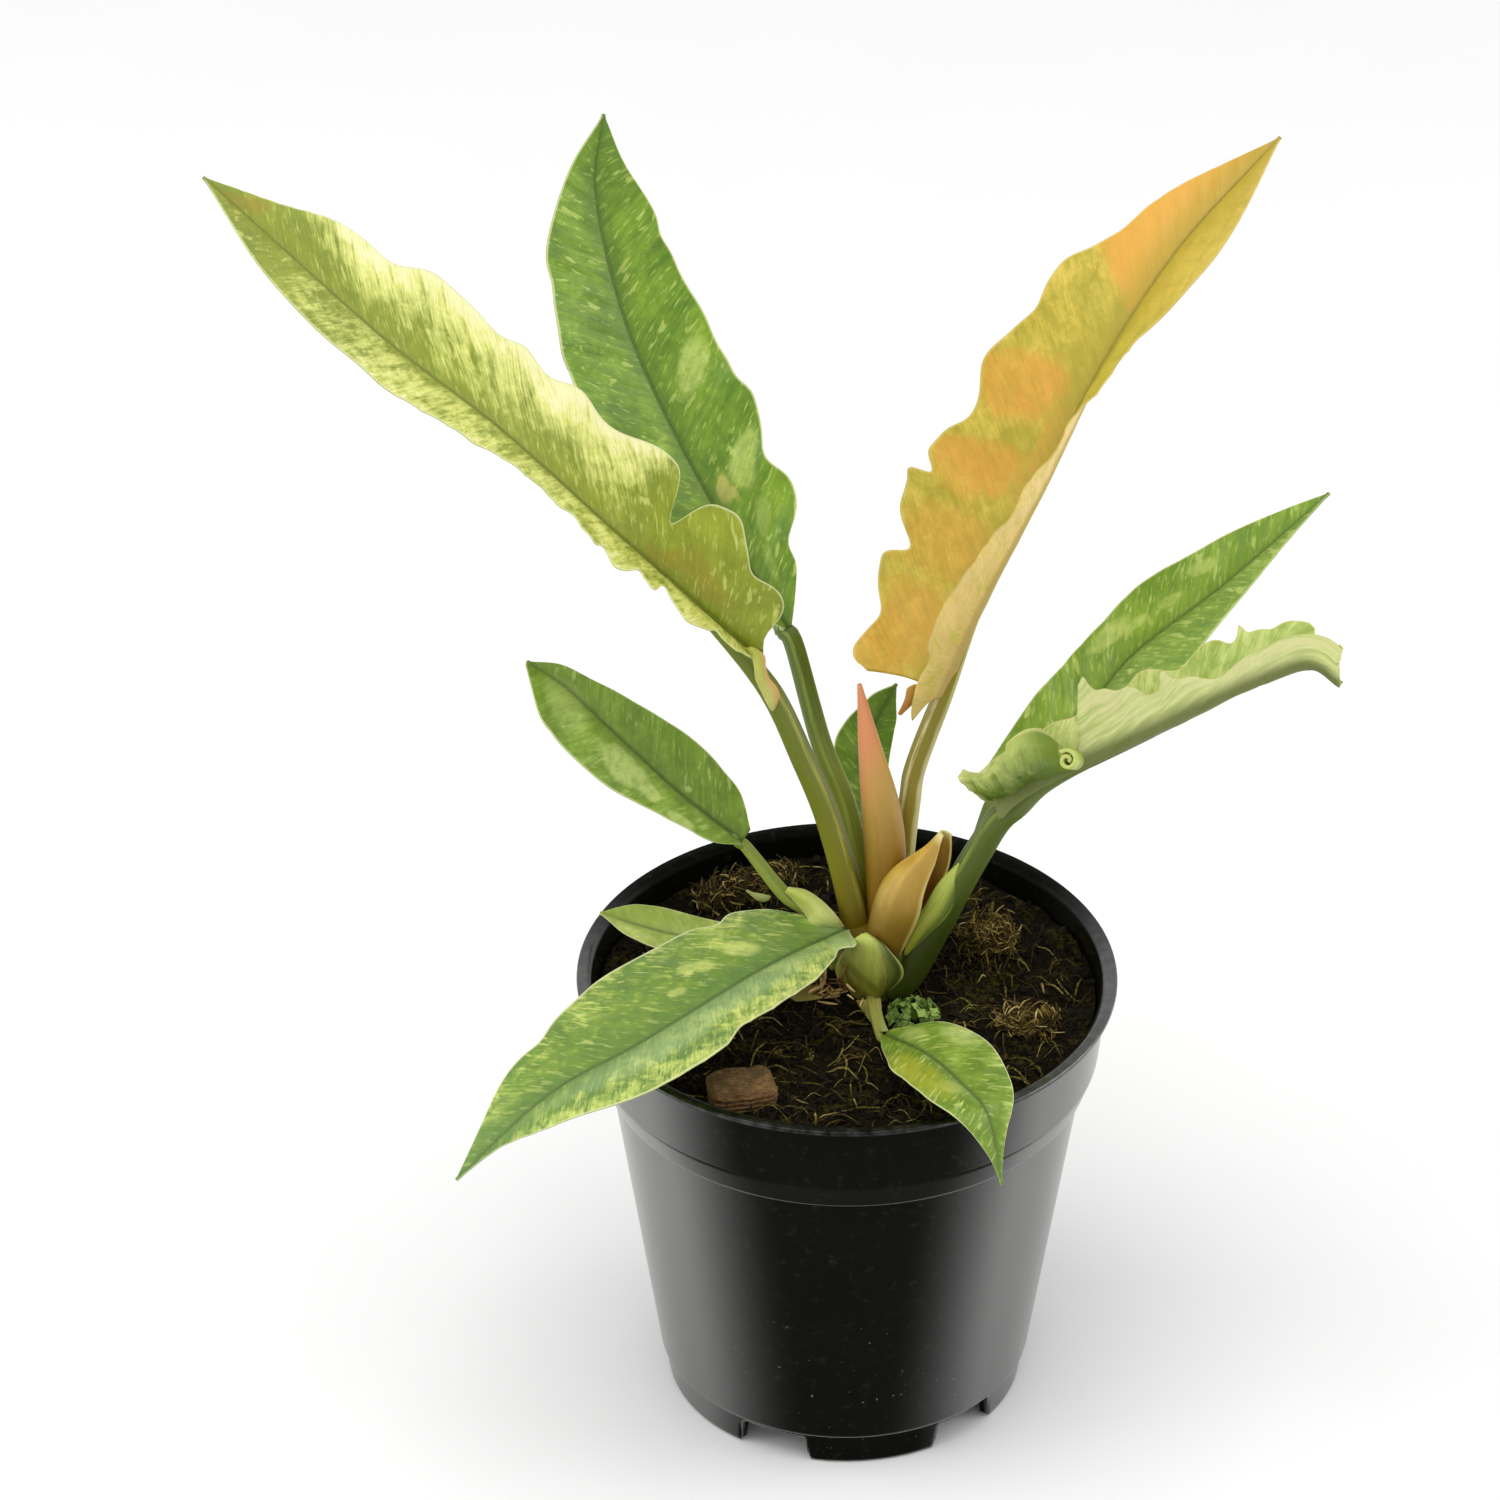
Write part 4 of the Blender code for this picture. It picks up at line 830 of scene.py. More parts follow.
        right=dict(width=(3, 8.4, 10.1, 10.9, 10.9, 9.6, 8.1, 6.8, 4.8, 3.2, 0), fold=(14,), curl=(12,)),
        waves=(3, 0.3, 0.0),
        stalk=((-1.4, 6.2, 104), (-5.2, 8.4, 110.5), (-8.4, 9.2, 116.5), (-14, 10.8, 120)),
        look=dict(deep=(92, 120, 28), green=(152, 180, 66), cream=(196, 210, 126), under=(150, 172, 84),
                  wash=((0.1, 0.1), (0.05, 0.12)), flecks=(0.08, 0.5), rib=(0.4, 0.45),
                  patches=((0.5, -0.46, 0.12, 0.3, 0.75, 0.5), (0.38, -0.56, 0.045, 0.2, 0.8, 0.5),
                           (0.24, -0.85, 0.05, 0.2, 0.7, 0.5), (0.266, 0.16, 0.014, 0.06, 0.9, 0.5),
                           (0.82, -0.2, 0.1, 0.5, 0.45, 0.8)))),
    "leafFrontLeft": dict(
        node="leaf_front_left", slot="leaf_light", radii=(1.9, 1.6),
        rib=((-0.4, 3.0, 116.2), (-19, -16, 118.6), (-45, -40, 116), (-65, -54, 112), (-85, -66, 98)),
        faces=((-20, 75), (-30, 75), (-40, 65)),
        left=dict(width=(1, 8.5, 13.5, 15.6, 16, 18.8, 18.2, 15.8, 10, 2.5, 0), fold=(18,), curl=(-5,),
                  lobes=((0.045, 3.6, 0.028), (0.09, -0.6, 0.015), (0.4, -1.5, 0.04))),
        right=dict(width=(1, 18, 20.5, 22.2, 22.3, 23, 20, 15.3, 12, 6, 0), fold=(-2,), curl=(-5,),
                   lobes=((0.02, 3, 0.02), (0.06, 2.5, 0.03), (0.2, -2, 0.035), (0.7, -0.8, 0.03))),
        waves=(4, 0.5, 0.0), joint="under", rows=1.2,
        stalk=((3.6, 0, 103), (2.2, -2.2, 106.5)),
        look=dict(deep=(86, 120, 50), green=(140, 166, 52), cream=(206, 214, 118), under=(170, 188, 110),
                  wash=((0.3, 0.3), (0.0, 0.42)), flecks=(0.1, 0.55), rib=(1.0, 0.6), shear=-0.05, comb=0.45,
                  patches=((0.221, 0.4, 0.03, 0.17, 0.8, 0.7), (0.31, 0.42, 0.022, 0.1, 0.7, 0.7),
                           (0.338, 0.5, 0.02, 0.08, 0.6, 0.7), (0.4, 0.3, 0.02, 0.06, 0.6, 0.7)),
                  blush=(184, 206, 146), blushes=((0.4, -0.3, 0.4, 0.26, 0.5, 0.9), (0.01, -0.5, 0.07, 1.0, 0.9, 0.8)))),
    "leafLowLeft": dict(
        node="leaf_low_left", slot="leaf_light", radii=(1.3, 1.0),
        rib=((-24, 10, 107), (-41, 13.5, 108), (-55, 16.5, 111)),
        faces=((0, 75),),
        left=dict(width=(2, 5, 7, 6.7, 6.2, 6, 5.8, 5, 4, 2, 0), fold=(8,), curl=(5,)),
        right=dict(width=(2, 4.5, 5, 5.2, 5.4, 5.8, 6, 5.5, 4.5, 2.5, 0), fold=(8,), curl=(5,)),
        waves=(2, 0.2, 0.0),
        stalk=((1, 11.5, 105), (-6, 12, 107)),
        look=dict(deep=(134, 154, 58), green=(178, 194, 92), cream=(204, 214, 124), under=(160, 178, 100), comb=0.5,
                  wash=((0.2, 0.1), (0.2, 0.1)), flecks=(0.02, 0.3), rib=(0.2, 0.4))),
    "leafFrontSmall": dict(
        node="leaf_front_small", slot="leaf_green", radii=(1.4, 1.1),
        rib=((8, -20, 104), (17, -33, 108), (25, -48, 110), (30, -58, 109), (33, -64, 95)),
        faces=((20, 75), (20, 70), (25, 45)),
        left=dict(width=(2, 8.4, 11.1, 12.3, 12, 11.1, 9.6, 7.2, 3.4, 1.3, 0), fold=(8,), curl=(-10,)),
        right=dict(width=(1, 5, 7.8, 10.2, 9.9, 9.8, 9.3, 7.5, 4.4, 1.6, 0), fold=(8,), curl=(-10,)),
        waves=(3, 0.3, 0.0),
        stalk=((5, -1, 102), (5.5, -8, 102.5)), radiiScale=(0.6, 0.8),
        look=dict(deep=(88, 118, 30), green=(140, 168, 54), cream=(200, 212, 122), under=(150, 174, 90),
                  wash=((0.02, 0.3), (0.05, 0.25)), flecks=(0.11, 0.6), rib=(0.35, 0.4), comb=0.5,
                  patches=((0.26, -0.75, 0.08, 0.25, 0.6, 0.8), (0.12, -0.35, 0.05, 0.3, 0.4, 0.8),
                           (0.55, 0.3, 0.05, 0.25, 0.45, 0.8)),
                  blush=(176, 172, 40), blushes=((0.4, 0.65, 0.2, 0.4, 0.6, 0.9),))),
    "leafBackSmall": dict(
        node="leaf_back_small", slot="leaf_green", radii=(1.6, 1.2),
        rib=((5, 30, 123), (4, 33, 136), (6, 35, 148), (11, 36, 159)),
        faces=((10, 20),),
        left=dict(width=(2, 5, 6.2, 6.6, 7.4, 7.8, 8.1, 6.9, 5, 3.5, 0), fold=(8,), curl=(5,)),
        right=dict(width=(2, 3.8, 4.4, 5, 5.1, 5.1, 5, 4.6, 3.8, 1.8, 0), fold=(8,), curl=(5,)),
        waves=(2, 0.2, 0.0),
        stalk=((8, 16, 105.5), (8, 21, 108), (6, 27, 114)),
        look=dict(deep=(84, 118, 30), green=(130, 160, 58), cream=(186, 204, 104), under=(140, 166, 80),
                  wash=((0.06, 0.15), (0.06, 0.15)), flecks=(0.1, 0.5), rib=(0.25, 0.4))),
}


# Rib points, and the directions ahead, to the right and up out of the upper side.
def leafFrames(leaf, shares):
    rib = evenPath(leaf["rib"], shares)
    ahead = unit(np.gradient(rib, axis=0))
    bearing, height = np.radians(np.array(leaf["faces"], float)).T
    looks = np.stack([np.sin(bearing) * np.cos(height), -np.cos(bearing) * np.cos(height),
                      np.sin(height)], axis=1)
    aside = unit(np.cross(ahead, smoothThrough(looks, shares)))
    return rib, ahead, aside, np.cross(aside, ahead)


# Width of a half: a smooth outline, with a bell added for each lobe or notch, and cut to a narrow
# strip in each gap, between its first and last share.
def halfWidth(half, shares):
    width = smoothThrough(half["width"], shares)[:, 0]
    for place, height, reach in half.get("lobes", ()):
        width = width + height * np.exp(-((shares - place) / reach) ** 2)
    for first, last, narrow in half.get("gaps", ()):
        inside = easeBetween(shares, first - 0.005, first + 0.005) * (1 - easeBetween(shares, last - 0.005, last + 0.005))
        width = width + (narrow - width) * inside
    return np.maximum(width, 0.35 + 0.25 * (1 - shares))


# Points of one half: each row is an arc that leaves the rib at fold and bends by curl; a wave
# that grows with the square of the share across lifts the margin.
def leafHalf(leaf, side, shares, across):
    half = leaf["right" if side > 0 else "left"]
    rib, ahead, aside, up = leafFrames(leaf, shares)
    number, lift, start = leaf["waves"]
    wave = lift * np.sin(tau * (number * (1 - shares) ** 1.3 + start + 0.25 * side))
    calm = np.sin(pi * np.clip(1.1 * shares, 0, 1))[:, None]
    width = halfWidth(half, shares)[:, None]
    fold = np.radians(smoothThrough(half["fold"], shares))
    curl = np.radians(smoothThrough(half["curl"], shares))
    curl = np.where(np.abs(curl) < 0.001, 0.001, curl)
    share = across[None, :]
    out = width * (np.sin(fold + curl * share) - np.sin(fold)) / curl
    over = width * (np.cos(fold) - np.cos(fold + curl * share)) / curl
    over = over + wave[:, None] * calm * share ** 2
    run = smoothThrough(half.get("sweep", (0,)), shares) * width * share ** half.get("power", 1.5)
    back, reach = half.get("back", (0, 1))
    run = run - back * np.exp(-(shares[:, None] / reach) ** 2) * share
    return (rib[:, None] + side * out[..., None] * aside[:, None] + over[..., None] * up[:, None]
            + run[..., None] * ahead[:, None])


acrossHalf = np.sort(np.append(np.linspace(0, 1, 18)[1:] ** 1.25, (0.03, 0.985)))
veinSlope, veinSpacing = 0.75, 6.5


# The blade: an upper face of two halves, raised between the side veins, and a lower face under
# it by a thickness that thins to the margin and swells to a keel under the rib.
def makeBlade(name, leaf):
    length = np.linalg.norm(np.diff(evenPath(leaf["rib"], np.linspace(0, 1, 200)), axis=0), axis=1).sum()
    shares = np.linspace(0, 1, int(24 + leaf.get("rows", 0.75) * length))
    left = leafHalf(leaf, -1, shares, acrossHalf[::-1])
    right = leafHalf(leaf, 1, shares, acrossHalf)
    middle = leafFrames(leaf, shares)[0][:, None]
    upper = np.concatenate([left, middle, right], axis=1)
    across = np.concatenate([-acrossHalf[::-1], [0], acrossHalf])
    widths = np.stack([halfWidth(leaf["left"], shares), halfWidth(leaf["right"], shares)], axis=1)
    sideways = across[None, :] * np.where(across[None, :] < 0, widths[:, :1], widths[:, 1:])
    runs = np.broadcast_to((shares * length)[:, None], sideways.shape)
    normal = unit(np.cross(np.gradient(upper, axis=1), np.gradient(upper, axis=0)))

    away = np.abs(sideways)
    vein = (runs - veinSlope * away) / veinSpacing
    swell = np.abs(np.sin(pi * vein)) ** 0.7
    fade = np.clip(away / 4, 0, 1) * np.clip((widths.max(axis=1)[:, None] - away) / 5, 0, 1)
    groove = np.exp(-(away / 0.8) ** 2) * (1 - shares[:, None])
    upper = upper + normal * (0.28 * swell * fade - 0.35 * groove)[..., None]
    radius = leaf["radii"][1]
    keel = 2 * radius * (leaf.get("keel", 0.22) * (1 - shares) + leaf.get("keelStart", 0.78) * np.exp(-shares / 0.07))[:, None]
    thickness = 0.34 + 0.3 * (1 - np.abs(across)) + keel * np.exp(-(away / (0.75 * radius)) ** 2)
    lower = upper - normal * thickness[..., None]
    rings = np.concatenate([upper, lower[:, ::-1]], axis=1)

    def round2(grid):
        both = np.concatenate([grid, grid[:, ::-1], grid[:, :1]], axis=1)
        return both
    lengthMap = np.stack([round2(runs) / 10, round2(sideways) / 10], axis=-1)
    shareMap = np.stack([round2(np.broadcast_to(shares[:, None], sideways.shape)),
                         round2(np.broadcast_to(across, sideways.shape)) / 2 + 0.5], axis=-1)
    under = np.broadcast_to(np.repeat([0.0, 1.0], len(across)), rings.shape[:2])
    skin(name, rings, leafMaterial(name, leaf["look"]), [leaf["node"]],
         maps={"lengths": lengthMap, "shares": shareMap}, marks={"under": under})


# Flesh of the leaf. Green is mixed from broad noise and from streaks that run along the side
# veins, cream is washed over it by an amount that grows towards the margin, flecks are the peaks
# of a finer noise drawn out along the veins, and each patch is an ellipse with a rough edge.
def leafMaterial(name, look):
    def build(paint):
        along, sideways = mapParts(paint, "lengths")
        share, halfShare = mapParts(paint, "shares")
        across = halfShare * 2 - 1
        right = across.ease(-0.03, 0.03)
        away = abs(sideways)
        edge = abs(across)
        under = markValue(paint, "under").ease(0.35, 0.65)
        vein = along - away * (look.get("slope", 0.75) + under * look.get("underSlope", 0.0))
        side = right * 7.0 + under * 3.0
        comb = look.get("comb", 1.0)
        streak = noise(paint, vector(paint, vein * 4.2, away * (1.6 - 0.8 * comb), side), 1, 4, 0.65, 0.8)
        hair = noise(paint, vector(paint, vein * 15, away * 2.2, side), 1, 3, 0.65, 0.4)
        mottle = noise(paint, vector(paint, along * 2.6, sideways * 2.6, side), 1, 5, 0.65, 0.5)
        broad = noise(paint, vector(paint, along * 0.6, sideways * 0.9, side), 1, 2)
        fleck = noise(paint, vector(paint, vein * 4.6, away * 1.7, side + 3), 1, 2, 0.55, 0.4)
        dash = noise(paint, vector(paint, vein * 9.5, away * 3.4, side + 5), 1, 1)
        rough = noise(paint, vector(paint, along * 4, sideways * 4, side), 1, 3, 0.6)

        def byHalf(left, other):
            return right * (other - left) + left

        # The strongest of several ellipses; each: share, across, reach, spread, strength, softness.
        def spots(entries):
            total = share * 0
            for place, centre, reach, spread, strength, soft in entries:
                run = share - place + (edge - abs(centre)) * look.get("shear", 0.06)
                far = (run * (1 / reach)) ** 2 + ((across - centre) * (1 / spread)) ** 2 + (mottle - 0.5) * 2.4
                total = total.math("MAXIMUM", total, (1 - far.ease(1 - soft, 1 + soft)) * strength)
            return total

        green = (broad * 0.6 + streak * 0.75 * comb + mottle * (1.3 - 0.75 * comb) - 0.5).ease(0.1, 0.9).mix(
            tone(*look["deep"]), tone(*look["green"]))
        (leftBase, leftRise), (rightBase, rightRise) = look["wash"]
        amount = byHalf(leftBase, rightBase) + edge * byHalf(leftRise, rightRise)
        if "span" in look:
            first, second, third, last = look["span"]
            amount = amount * ((share.ease(first, second) - 1) * right + 1) * (1 - share.ease(third, last))
        level = (amount + (streak - 0.5) * 1.2 * comb + (mottle - 0.5) * (2.0 - 1.1 * comb) + (hair - 0.5) * 0.8
                 + (broad - 0.5) * 0.7)
        colour = level.ease(0.3, 1.0).mix(green, tone(*look["cream"]))
        # painted highlight: the palest colour, laid where the cream is strongest and nearest the margin
        if "pale" in look:
            colour = (level + edge * 0.35).ease(1.05, 1.5).mix(colour, tone(*look["pale"]))
        cover, strength = look["flecks"]
        flecks = fleck.ease(0.71 - cover, 0.76 - cover) + dash.ease(0.72 - cover, 0.77 - cover) * 0.6
        colour = (flecks * strength).mix(colour, tone(*look["cream"]))
        strokes = (streak * 0.4 + rough * 0.6).ease(0.36, 0.58) * 0.45 + 0.55
        colour = (spots(look.get("patches", ())) * strokes).mix(colour, tone(*look["cream"]))
        if "blush" in look:
            blush = spots(look["blushes"]) * ((streak * 0.5 + hair * 0.5).ease(0.36, 0.62) * 0.45 + 0.55)
            colour = blush.mix(colour, tone(*look["blush"]))
        if "flush" in look:  # the orange end, which stops at a side vein
            colour = ((share - edge * 0.045 + (rough - 0.5) * 0.02).ease(0.645, 0.668) * (1 - right * 0.85)
                      * (streak.ease(0.2, 0.6) * 0.35 + 0.65)).mix(colour, tone(*look["flush"]))
        width, dark = look["rib"]
        colour = ((1 - away.ease(0.0, width)) * dark).mix(colour, tone(*look["deep"]))
        colour = ((1 - away.ease(0.025, 0.085)) * 0.55 * (1 - share * 0.5)).mix(
            colour, tone(*(channel * 0.72 for channel in look["deep"])))
        margin = edge.ease(0.965, 0.995) * 0.75
        colour = margin.mix(colour, tone(*look.get("margin", (222, 224, 170))))
        down, over = look.get("grain", (0.0, 0.0))
        long = noise(paint, vector(paint, away * down * 7 - along * over * 7, along * down * 0.6 + away * over, 2), 1, 4,
                     0.6, 0.3) if down else streak
        below = (long * 1.3 + broad * 0.3 - 0.24 if down else long * 0.9 + hair * 0.5 + broad * 0.3 - 0.3).ease(0.2, 0.75).mix(
            tone(*look.get("underStreak", look["green"])), tone(*look["under"]))
        if "tint" in look:
            below = ((long * 0.6 + broad * 0.5).ease(0.5, 0.72) * 0.3).mix(below, tone(*look["tint"]))
        keel = 1 - away.ease(0.12, 0.5 if down else 0.3)
        # painted shade: on the underside, the narrow strip beside the stalk's end is darkened to the keel colour
        if down:  # the narrow strip beside the stalk's end
            keel = keel.math("MAXIMUM", keel, 1 - share.ease(0.14, 0.25))
        below = (keel * 0.9).mix(below, tone(*look.get("keel", look["deep"])))
        colour = under.mix(colour, below)
        colour = paint.node("ShaderNodeHueSaturation", None, {
            "Color": colour, "Value": 0.86 + hair * 0.16 + rough * 0.12})
        ridge = noise(paint, vector(paint, vein * 3.1, away * 0.4, side), 1, 2)
        pores = noise(paint, vector(paint, along * 14, sideways * 14, side), 1, 2)
        return {"Base Color": colour, "Roughness": 0.34 + pores * 0.14 + under * 0.15,
                "Normal": bump(paint, ridge * 0.8 + pores * 0.12 + hair * 0.25, 0.35)}
    return newMaterial(name + "Flesh", build, Subsurface_Weight=0.12, Subsurface_Scale=0.002,
                       Subsurface_Radius=(0.6, 1.0, 0.25), Specular_IOR_Level=0.45)


# Points and radii from the stalk's foot to the blade, past whose end it runs on under the rib.
def stalkRoute(leaf, count=70):
    rib, ahead, aside, up = (rows[0] for rows in leafFrames(leaf, np.linspace(0, 1, 40)))
    radius = leaf["radii"][1]
    shares = np.linspace(0, 1, count)
    if leaf.get("joint") == "straight":
        knots = [*leaf["stalk"], rib + ahead * 11 - up * leaf.get("under", 1.3), rib + ahead * 26 - up * 0.6]
    elif leaf.get("joint") == "under":
        end = rib + ahead * radius - up * (bladeThickness + 2 * radius)
        knots = [*leaf["stalk"], end, end + ahead * 4 + up * radius]
    else:
        end = rib - up * (radius + 0.5 * bladeThickness)
        knots = [*leaf["stalk"], end - ahead * 2 * radius, end, end + ahead * 5 + up * radius * 0.5]
    radii = smoothThrough(leaf["radii"], shares)[:, 0]
    if leaf.get("joint") == "straight":
        radii = radii * (1 - 0.62 * easeBetween(shares, 0.62, 1))
    else:
        radii = radii * (1 - 0.6 * easeBetween(shares, 0.93, 1))
    return evenPath(knots, shares), radii, up


# Rings square to a path. The section is round, with a channel on the upper side between two low
# edges: a bell taken off at the top, and one added on either side of it.
def grooved(path, radii, up, channel, cols=40):
    ahead = unit(np.gradient(path, axis=0))
    aside = unit(np.cross(ahead, up))
    over = np.cross(aside, ahead)
    angle = np.arange(cols) * tau / cols
    top = (angle - pi / 2 + pi) % tau - pi
    shape = (1 - channel * np.exp(-(top / 0.42) ** 2)
             + 0.35 * channel * (np.exp(-((top - 0.75) / 0.28) ** 2) + np.exp(-((top + 0.75) / 0.28) ** 2)))
    ring = radii[:, None] * shape
    return path[:, None] + ring[..., None] * (np.cos(angle)[:, None] * aside[:, None]
                                              + np.sin(angle)[:, None] * over[:, None])


stalkLook = {
    "leafLeftLong": dict(low=(128, 122, 16), high=(100, 112, 14), pale=(206, 206, 110), foot=(106, 88, 6), line=0.35),
    "leafTallGreen": dict(low=(150, 164, 56), high=(82, 100, 20), pale=(190, 200, 96), line=0.3),
    "leafOrange": dict(low=(146, 134, 44), high=(142, 130, 26), pale=(224, 216, 156), line=0.9, side=(0.86, 0.09)),
    "leafRightCurled": dict(low=(62, 78, 0), high=(92, 108, 12), pale=(150, 168, 52), foot=(50, 60, 0), line=0.3),
    "leafLeftSmall": dict(low=(138, 152, 60), high=(112, 132, 38), pale=(176, 190, 96), line=0.1),
    "leafFrontSmall": dict(low=(150, 150, 70), high=(140, 150, 60), pale=(196, 196, 120), line=0.1),
    "leafFrontLeft": dict(low=(128, 124, 42), high=(128, 124, 42), pale=(176, 170, 90), line=0.1),
}


# low and high: colours up the stalk; foot: the colour at its base; line: strength of the channel's
# edges; side: middle and half width, in turns, of a pale strip.
def stalkMaterial(name, low=(92, 108, 16), high=(106, 126, 32), pale=(176, 190, 96), foot=None, line=0.15,
                  side=None):
    def build(paint):
        turn, along = mapParts(paint, "wrap")
        streak = noise(paint, vector(paint, turn * 26, along * 0.12), 1, 3, 0.6)
        fine = noise(paint, vector(paint, turn * 60, along * 0.5), 1, 2)
        height = paint.node("ShaderNodeSeparateXYZ", None, {"Vector": objectPlace(paint)}, output=2)
        colour = (height.ease(112, 175) + (streak - 0.5) * 0.5).mix(tone(*low), tone(*high))
        edge = (1 - abs(abs(turn - 0.25) - 0.12).ease(0.015, 0.045)) * streak.ease(0.3, 0.6)
        colour = (edge * line).mix(colour, tone(*pale))
        if side:
            strip = 1 - (abs(turn - side[0]) + (streak - 0.5) * 0.1).ease(side[1] * 0.5, side[1] * 1.3)
            colour = (strip * 0.75).mix(colour, tone(*pale))
        colour = (1 - (height + streak * 8).ease(118, 138)).mix(colour, tone(*(foot or low)))
        return {"Base Color": colour, "Roughness": 0.36 + streak * 0.14,
                "Normal": bump(paint, streak + fine * 0.4, 0.12)}
    return newMaterial(name + "Skin", build, Subsurface_Weight=0.08, Subsurface_Scale=0.003,
                       Subsurface_Radius=(0.6, 1.0, 0.25))


def makeStalk(name, leaf):
    path, radii, up = stalkRoute(leaf)
    runs = np.concatenate([[0], np.cumsum(np.linalg.norm(np.diff(path, axis=0), axis=1))])
    radii = radii * (1 + 0.25 * np.exp(-runs / 9)) * smoothThrough(
        leaf.get("radiiScale", (1, 1)), np.linspace(0, 1, len(radii)))[:, 0]
    rings = grooved(path, radii, up, leaf.get("channel", 0.16))
    turn = np.linspace(0, 1, rings.shape[1] + 1)
    wrap = np.stack(np.broadcast_arrays(turn[None, :], runs[:, None]), axis=-1)
    skin(name + "Stalk", rings, stalkMaterial(name + "Stalk", **stalkLook.get(name, {})),
         [leaf["node"] + "_stalk"], maps={"wrap": wrap})


for leafName, leafData in leaves.items():
    makeBlade(leafName, leafData)
    makeStalk(leafName, leafData)
print("leaves made")


# ---- stem, rolled leaf and sheath

stem = dict(rings=((95.0, 8.0, 5.0, 5.0), (96.5, 8.0, 5.0, 7.0), (101.0, 7.5, 5.0, 8.0),
                   (106.0, 7.5, 5.5, 9.4), (110.0, 8.0, 6.5, 10.3), (113.5, 8.0, 7.5, 10.1),
                   (115.5, 8.0, 8.0, 8.4), (116.6, 8.0, 8.2, 5.0), (117.0, 8.0, 8.2, 1.0)))
spike = dict(points=((8.5, 7.5, socketFloor), (8.6, 8.2, 122), (7.9, 9.3, 140), (4.8, 10, 160), (2.4, 10, 176)),
             radii=(4.2, 4.5, 4.2, 2.5, 0.5), overlap=0.14, seam=-0.6)
sheath = dict(points=((8.8, 1.8, 110.5), (10.4, 1.4, 118), (14.4, 1.4, 128), (19.2, 2.2, 135.5), (21.6, 2.8, 141.5)),
              radii=(4.2, 5.9, 6.6, 4.3, 1.5), spread=168, openTo=(0.72, -0.68, 0.15), thickness=0.5)


# The stem: rings through the listed heights, centres and radii, uneven by three low swells.
def makeStem():
    shares = np.linspace(0, 1, 60)
    height, x, y, radius = smoothThrough(stem["rings"], shares).T
    angle = np.arange(72) * tau / 72
    radius = radius[:, None] * (1 + 0.03 * np.sin(3 * angle + height[:, None] * 0.2))
    radius = np.maximum(radius, 0.3)
    rings = np.stack([x[:, None] + radius * np.cos(angle), y[:, None] + radius * np.sin(angle),
                      np.broadcast_to(height[:, None], radius.shape)], axis=-1)
    skin("stemBulge", rings, stemSkin, ["stem"])


# The rolled leaf: a turn whose radius grows by the overlap, so that its outer edge stands over
# the start, carried up the path.
def makeSpike():
    shares = np.linspace(0, 1, 90)
    path = evenPath(spike["points"], shares)
    radii = smoothThrough(spike["radii"], shares)[:, 0]
    ahead = unit(np.gradient(path, axis=0))
    aside = unit(np.cross(ahead, (0, 1, 0)))
    over = np.cross(aside, ahead)
    turn = np.linspace(0, 1, 56)
    angle = tau * turn[None, :] + spike["seam"] + 0.9 * shares[:, None]
    ring = np.maximum(radii, 0.2)[:, None] * (0.94 + spike["overlap"] * turn)
    rings = path[:, None] + ring[..., None] * (np.cos(angle)[..., None] * aside[:, None]
                                               + np.sin(angle)[..., None] * over[:, None])
    wrap = np.stack(np.broadcast_arrays(np.append(turn, 1)[None, :], (shares * 70)[:, None]), axis=-1)
    skin("rolledLeaf", rings, spikeSkin, ["new_leaf_spike"], maps={"wrap": wrap})


# The sheath: an arc round the path, open on one side, with an inner face set in by the thickness.
def makeSheath():
    shares = np.linspace(0, 1, 70)
    path = evenPath(sheath["points"], shares)
    radii = smoothThrough(sheath["radii"], shares)[:, 0]
    ahead = unit(np.gradient(path, axis=0))
    away = -np.array(sheath["openTo"])
    aside = unit(away - np.sum(ahead * away, axis=1)[:, None] * ahead)
    over = np.cross(ahead, aside)
    turn = np.linspace(-1, 1, 40)
    angle = np.radians(sheath["spread"]) * turn[None, :] * (1 - 0.35 * shares[:, None] ** 3)
    facing = np.cos(angle)[..., None] * aside[:, None] + np.sin(angle)[..., None] * over[:, None]
    outer = path[:, None] + radii[:, None, None] * facing
    inner = outer - sheath["thickness"] * facing
    rings = np.concatenate([outer, inner[:, ::-1]], axis=1)
    across = np.concatenate([turn, turn[::-1], turn[:1]])
    wrap = np.stack(np.broadcast_arrays(across[None, :], (shares * 34)[:, None]), axis=-1)
    skin("orangeSheath", rings, sheathSkin, ["sheath_orange"], maps={"wrap": wrap})


def paintStem(paint):
    place = objectPlace(paint)
    parts = paint.node("ShaderNodeSeparateXYZ", None, {"Vector": place})
    x, height = parts, Wire(parts.tree, parts.socket.node.outputs[2])
    shade = noise(paint, place, 0.35, 3)
    # painted shade: the stem is pale yellow-green on its left and darkens to deep green towards its right
    colour = ((x * -0.1 + 1.25) + (shade - 0.5) * 0.6).ease(0, 1).mix(tone(70, 84, 10), tone(170, 176, 84))
    colour = (1 - height.ease(98, 104)).mix(colour, tone(120, 96, 44))
    colour = height.ease(111.5, 114.5).mix(colour, tone(96, 78, 4))
    return {"Base Color": colour, "Roughness": 0.4 + shade * 0.15, "Normal": bump(paint, shade, 0.4)}


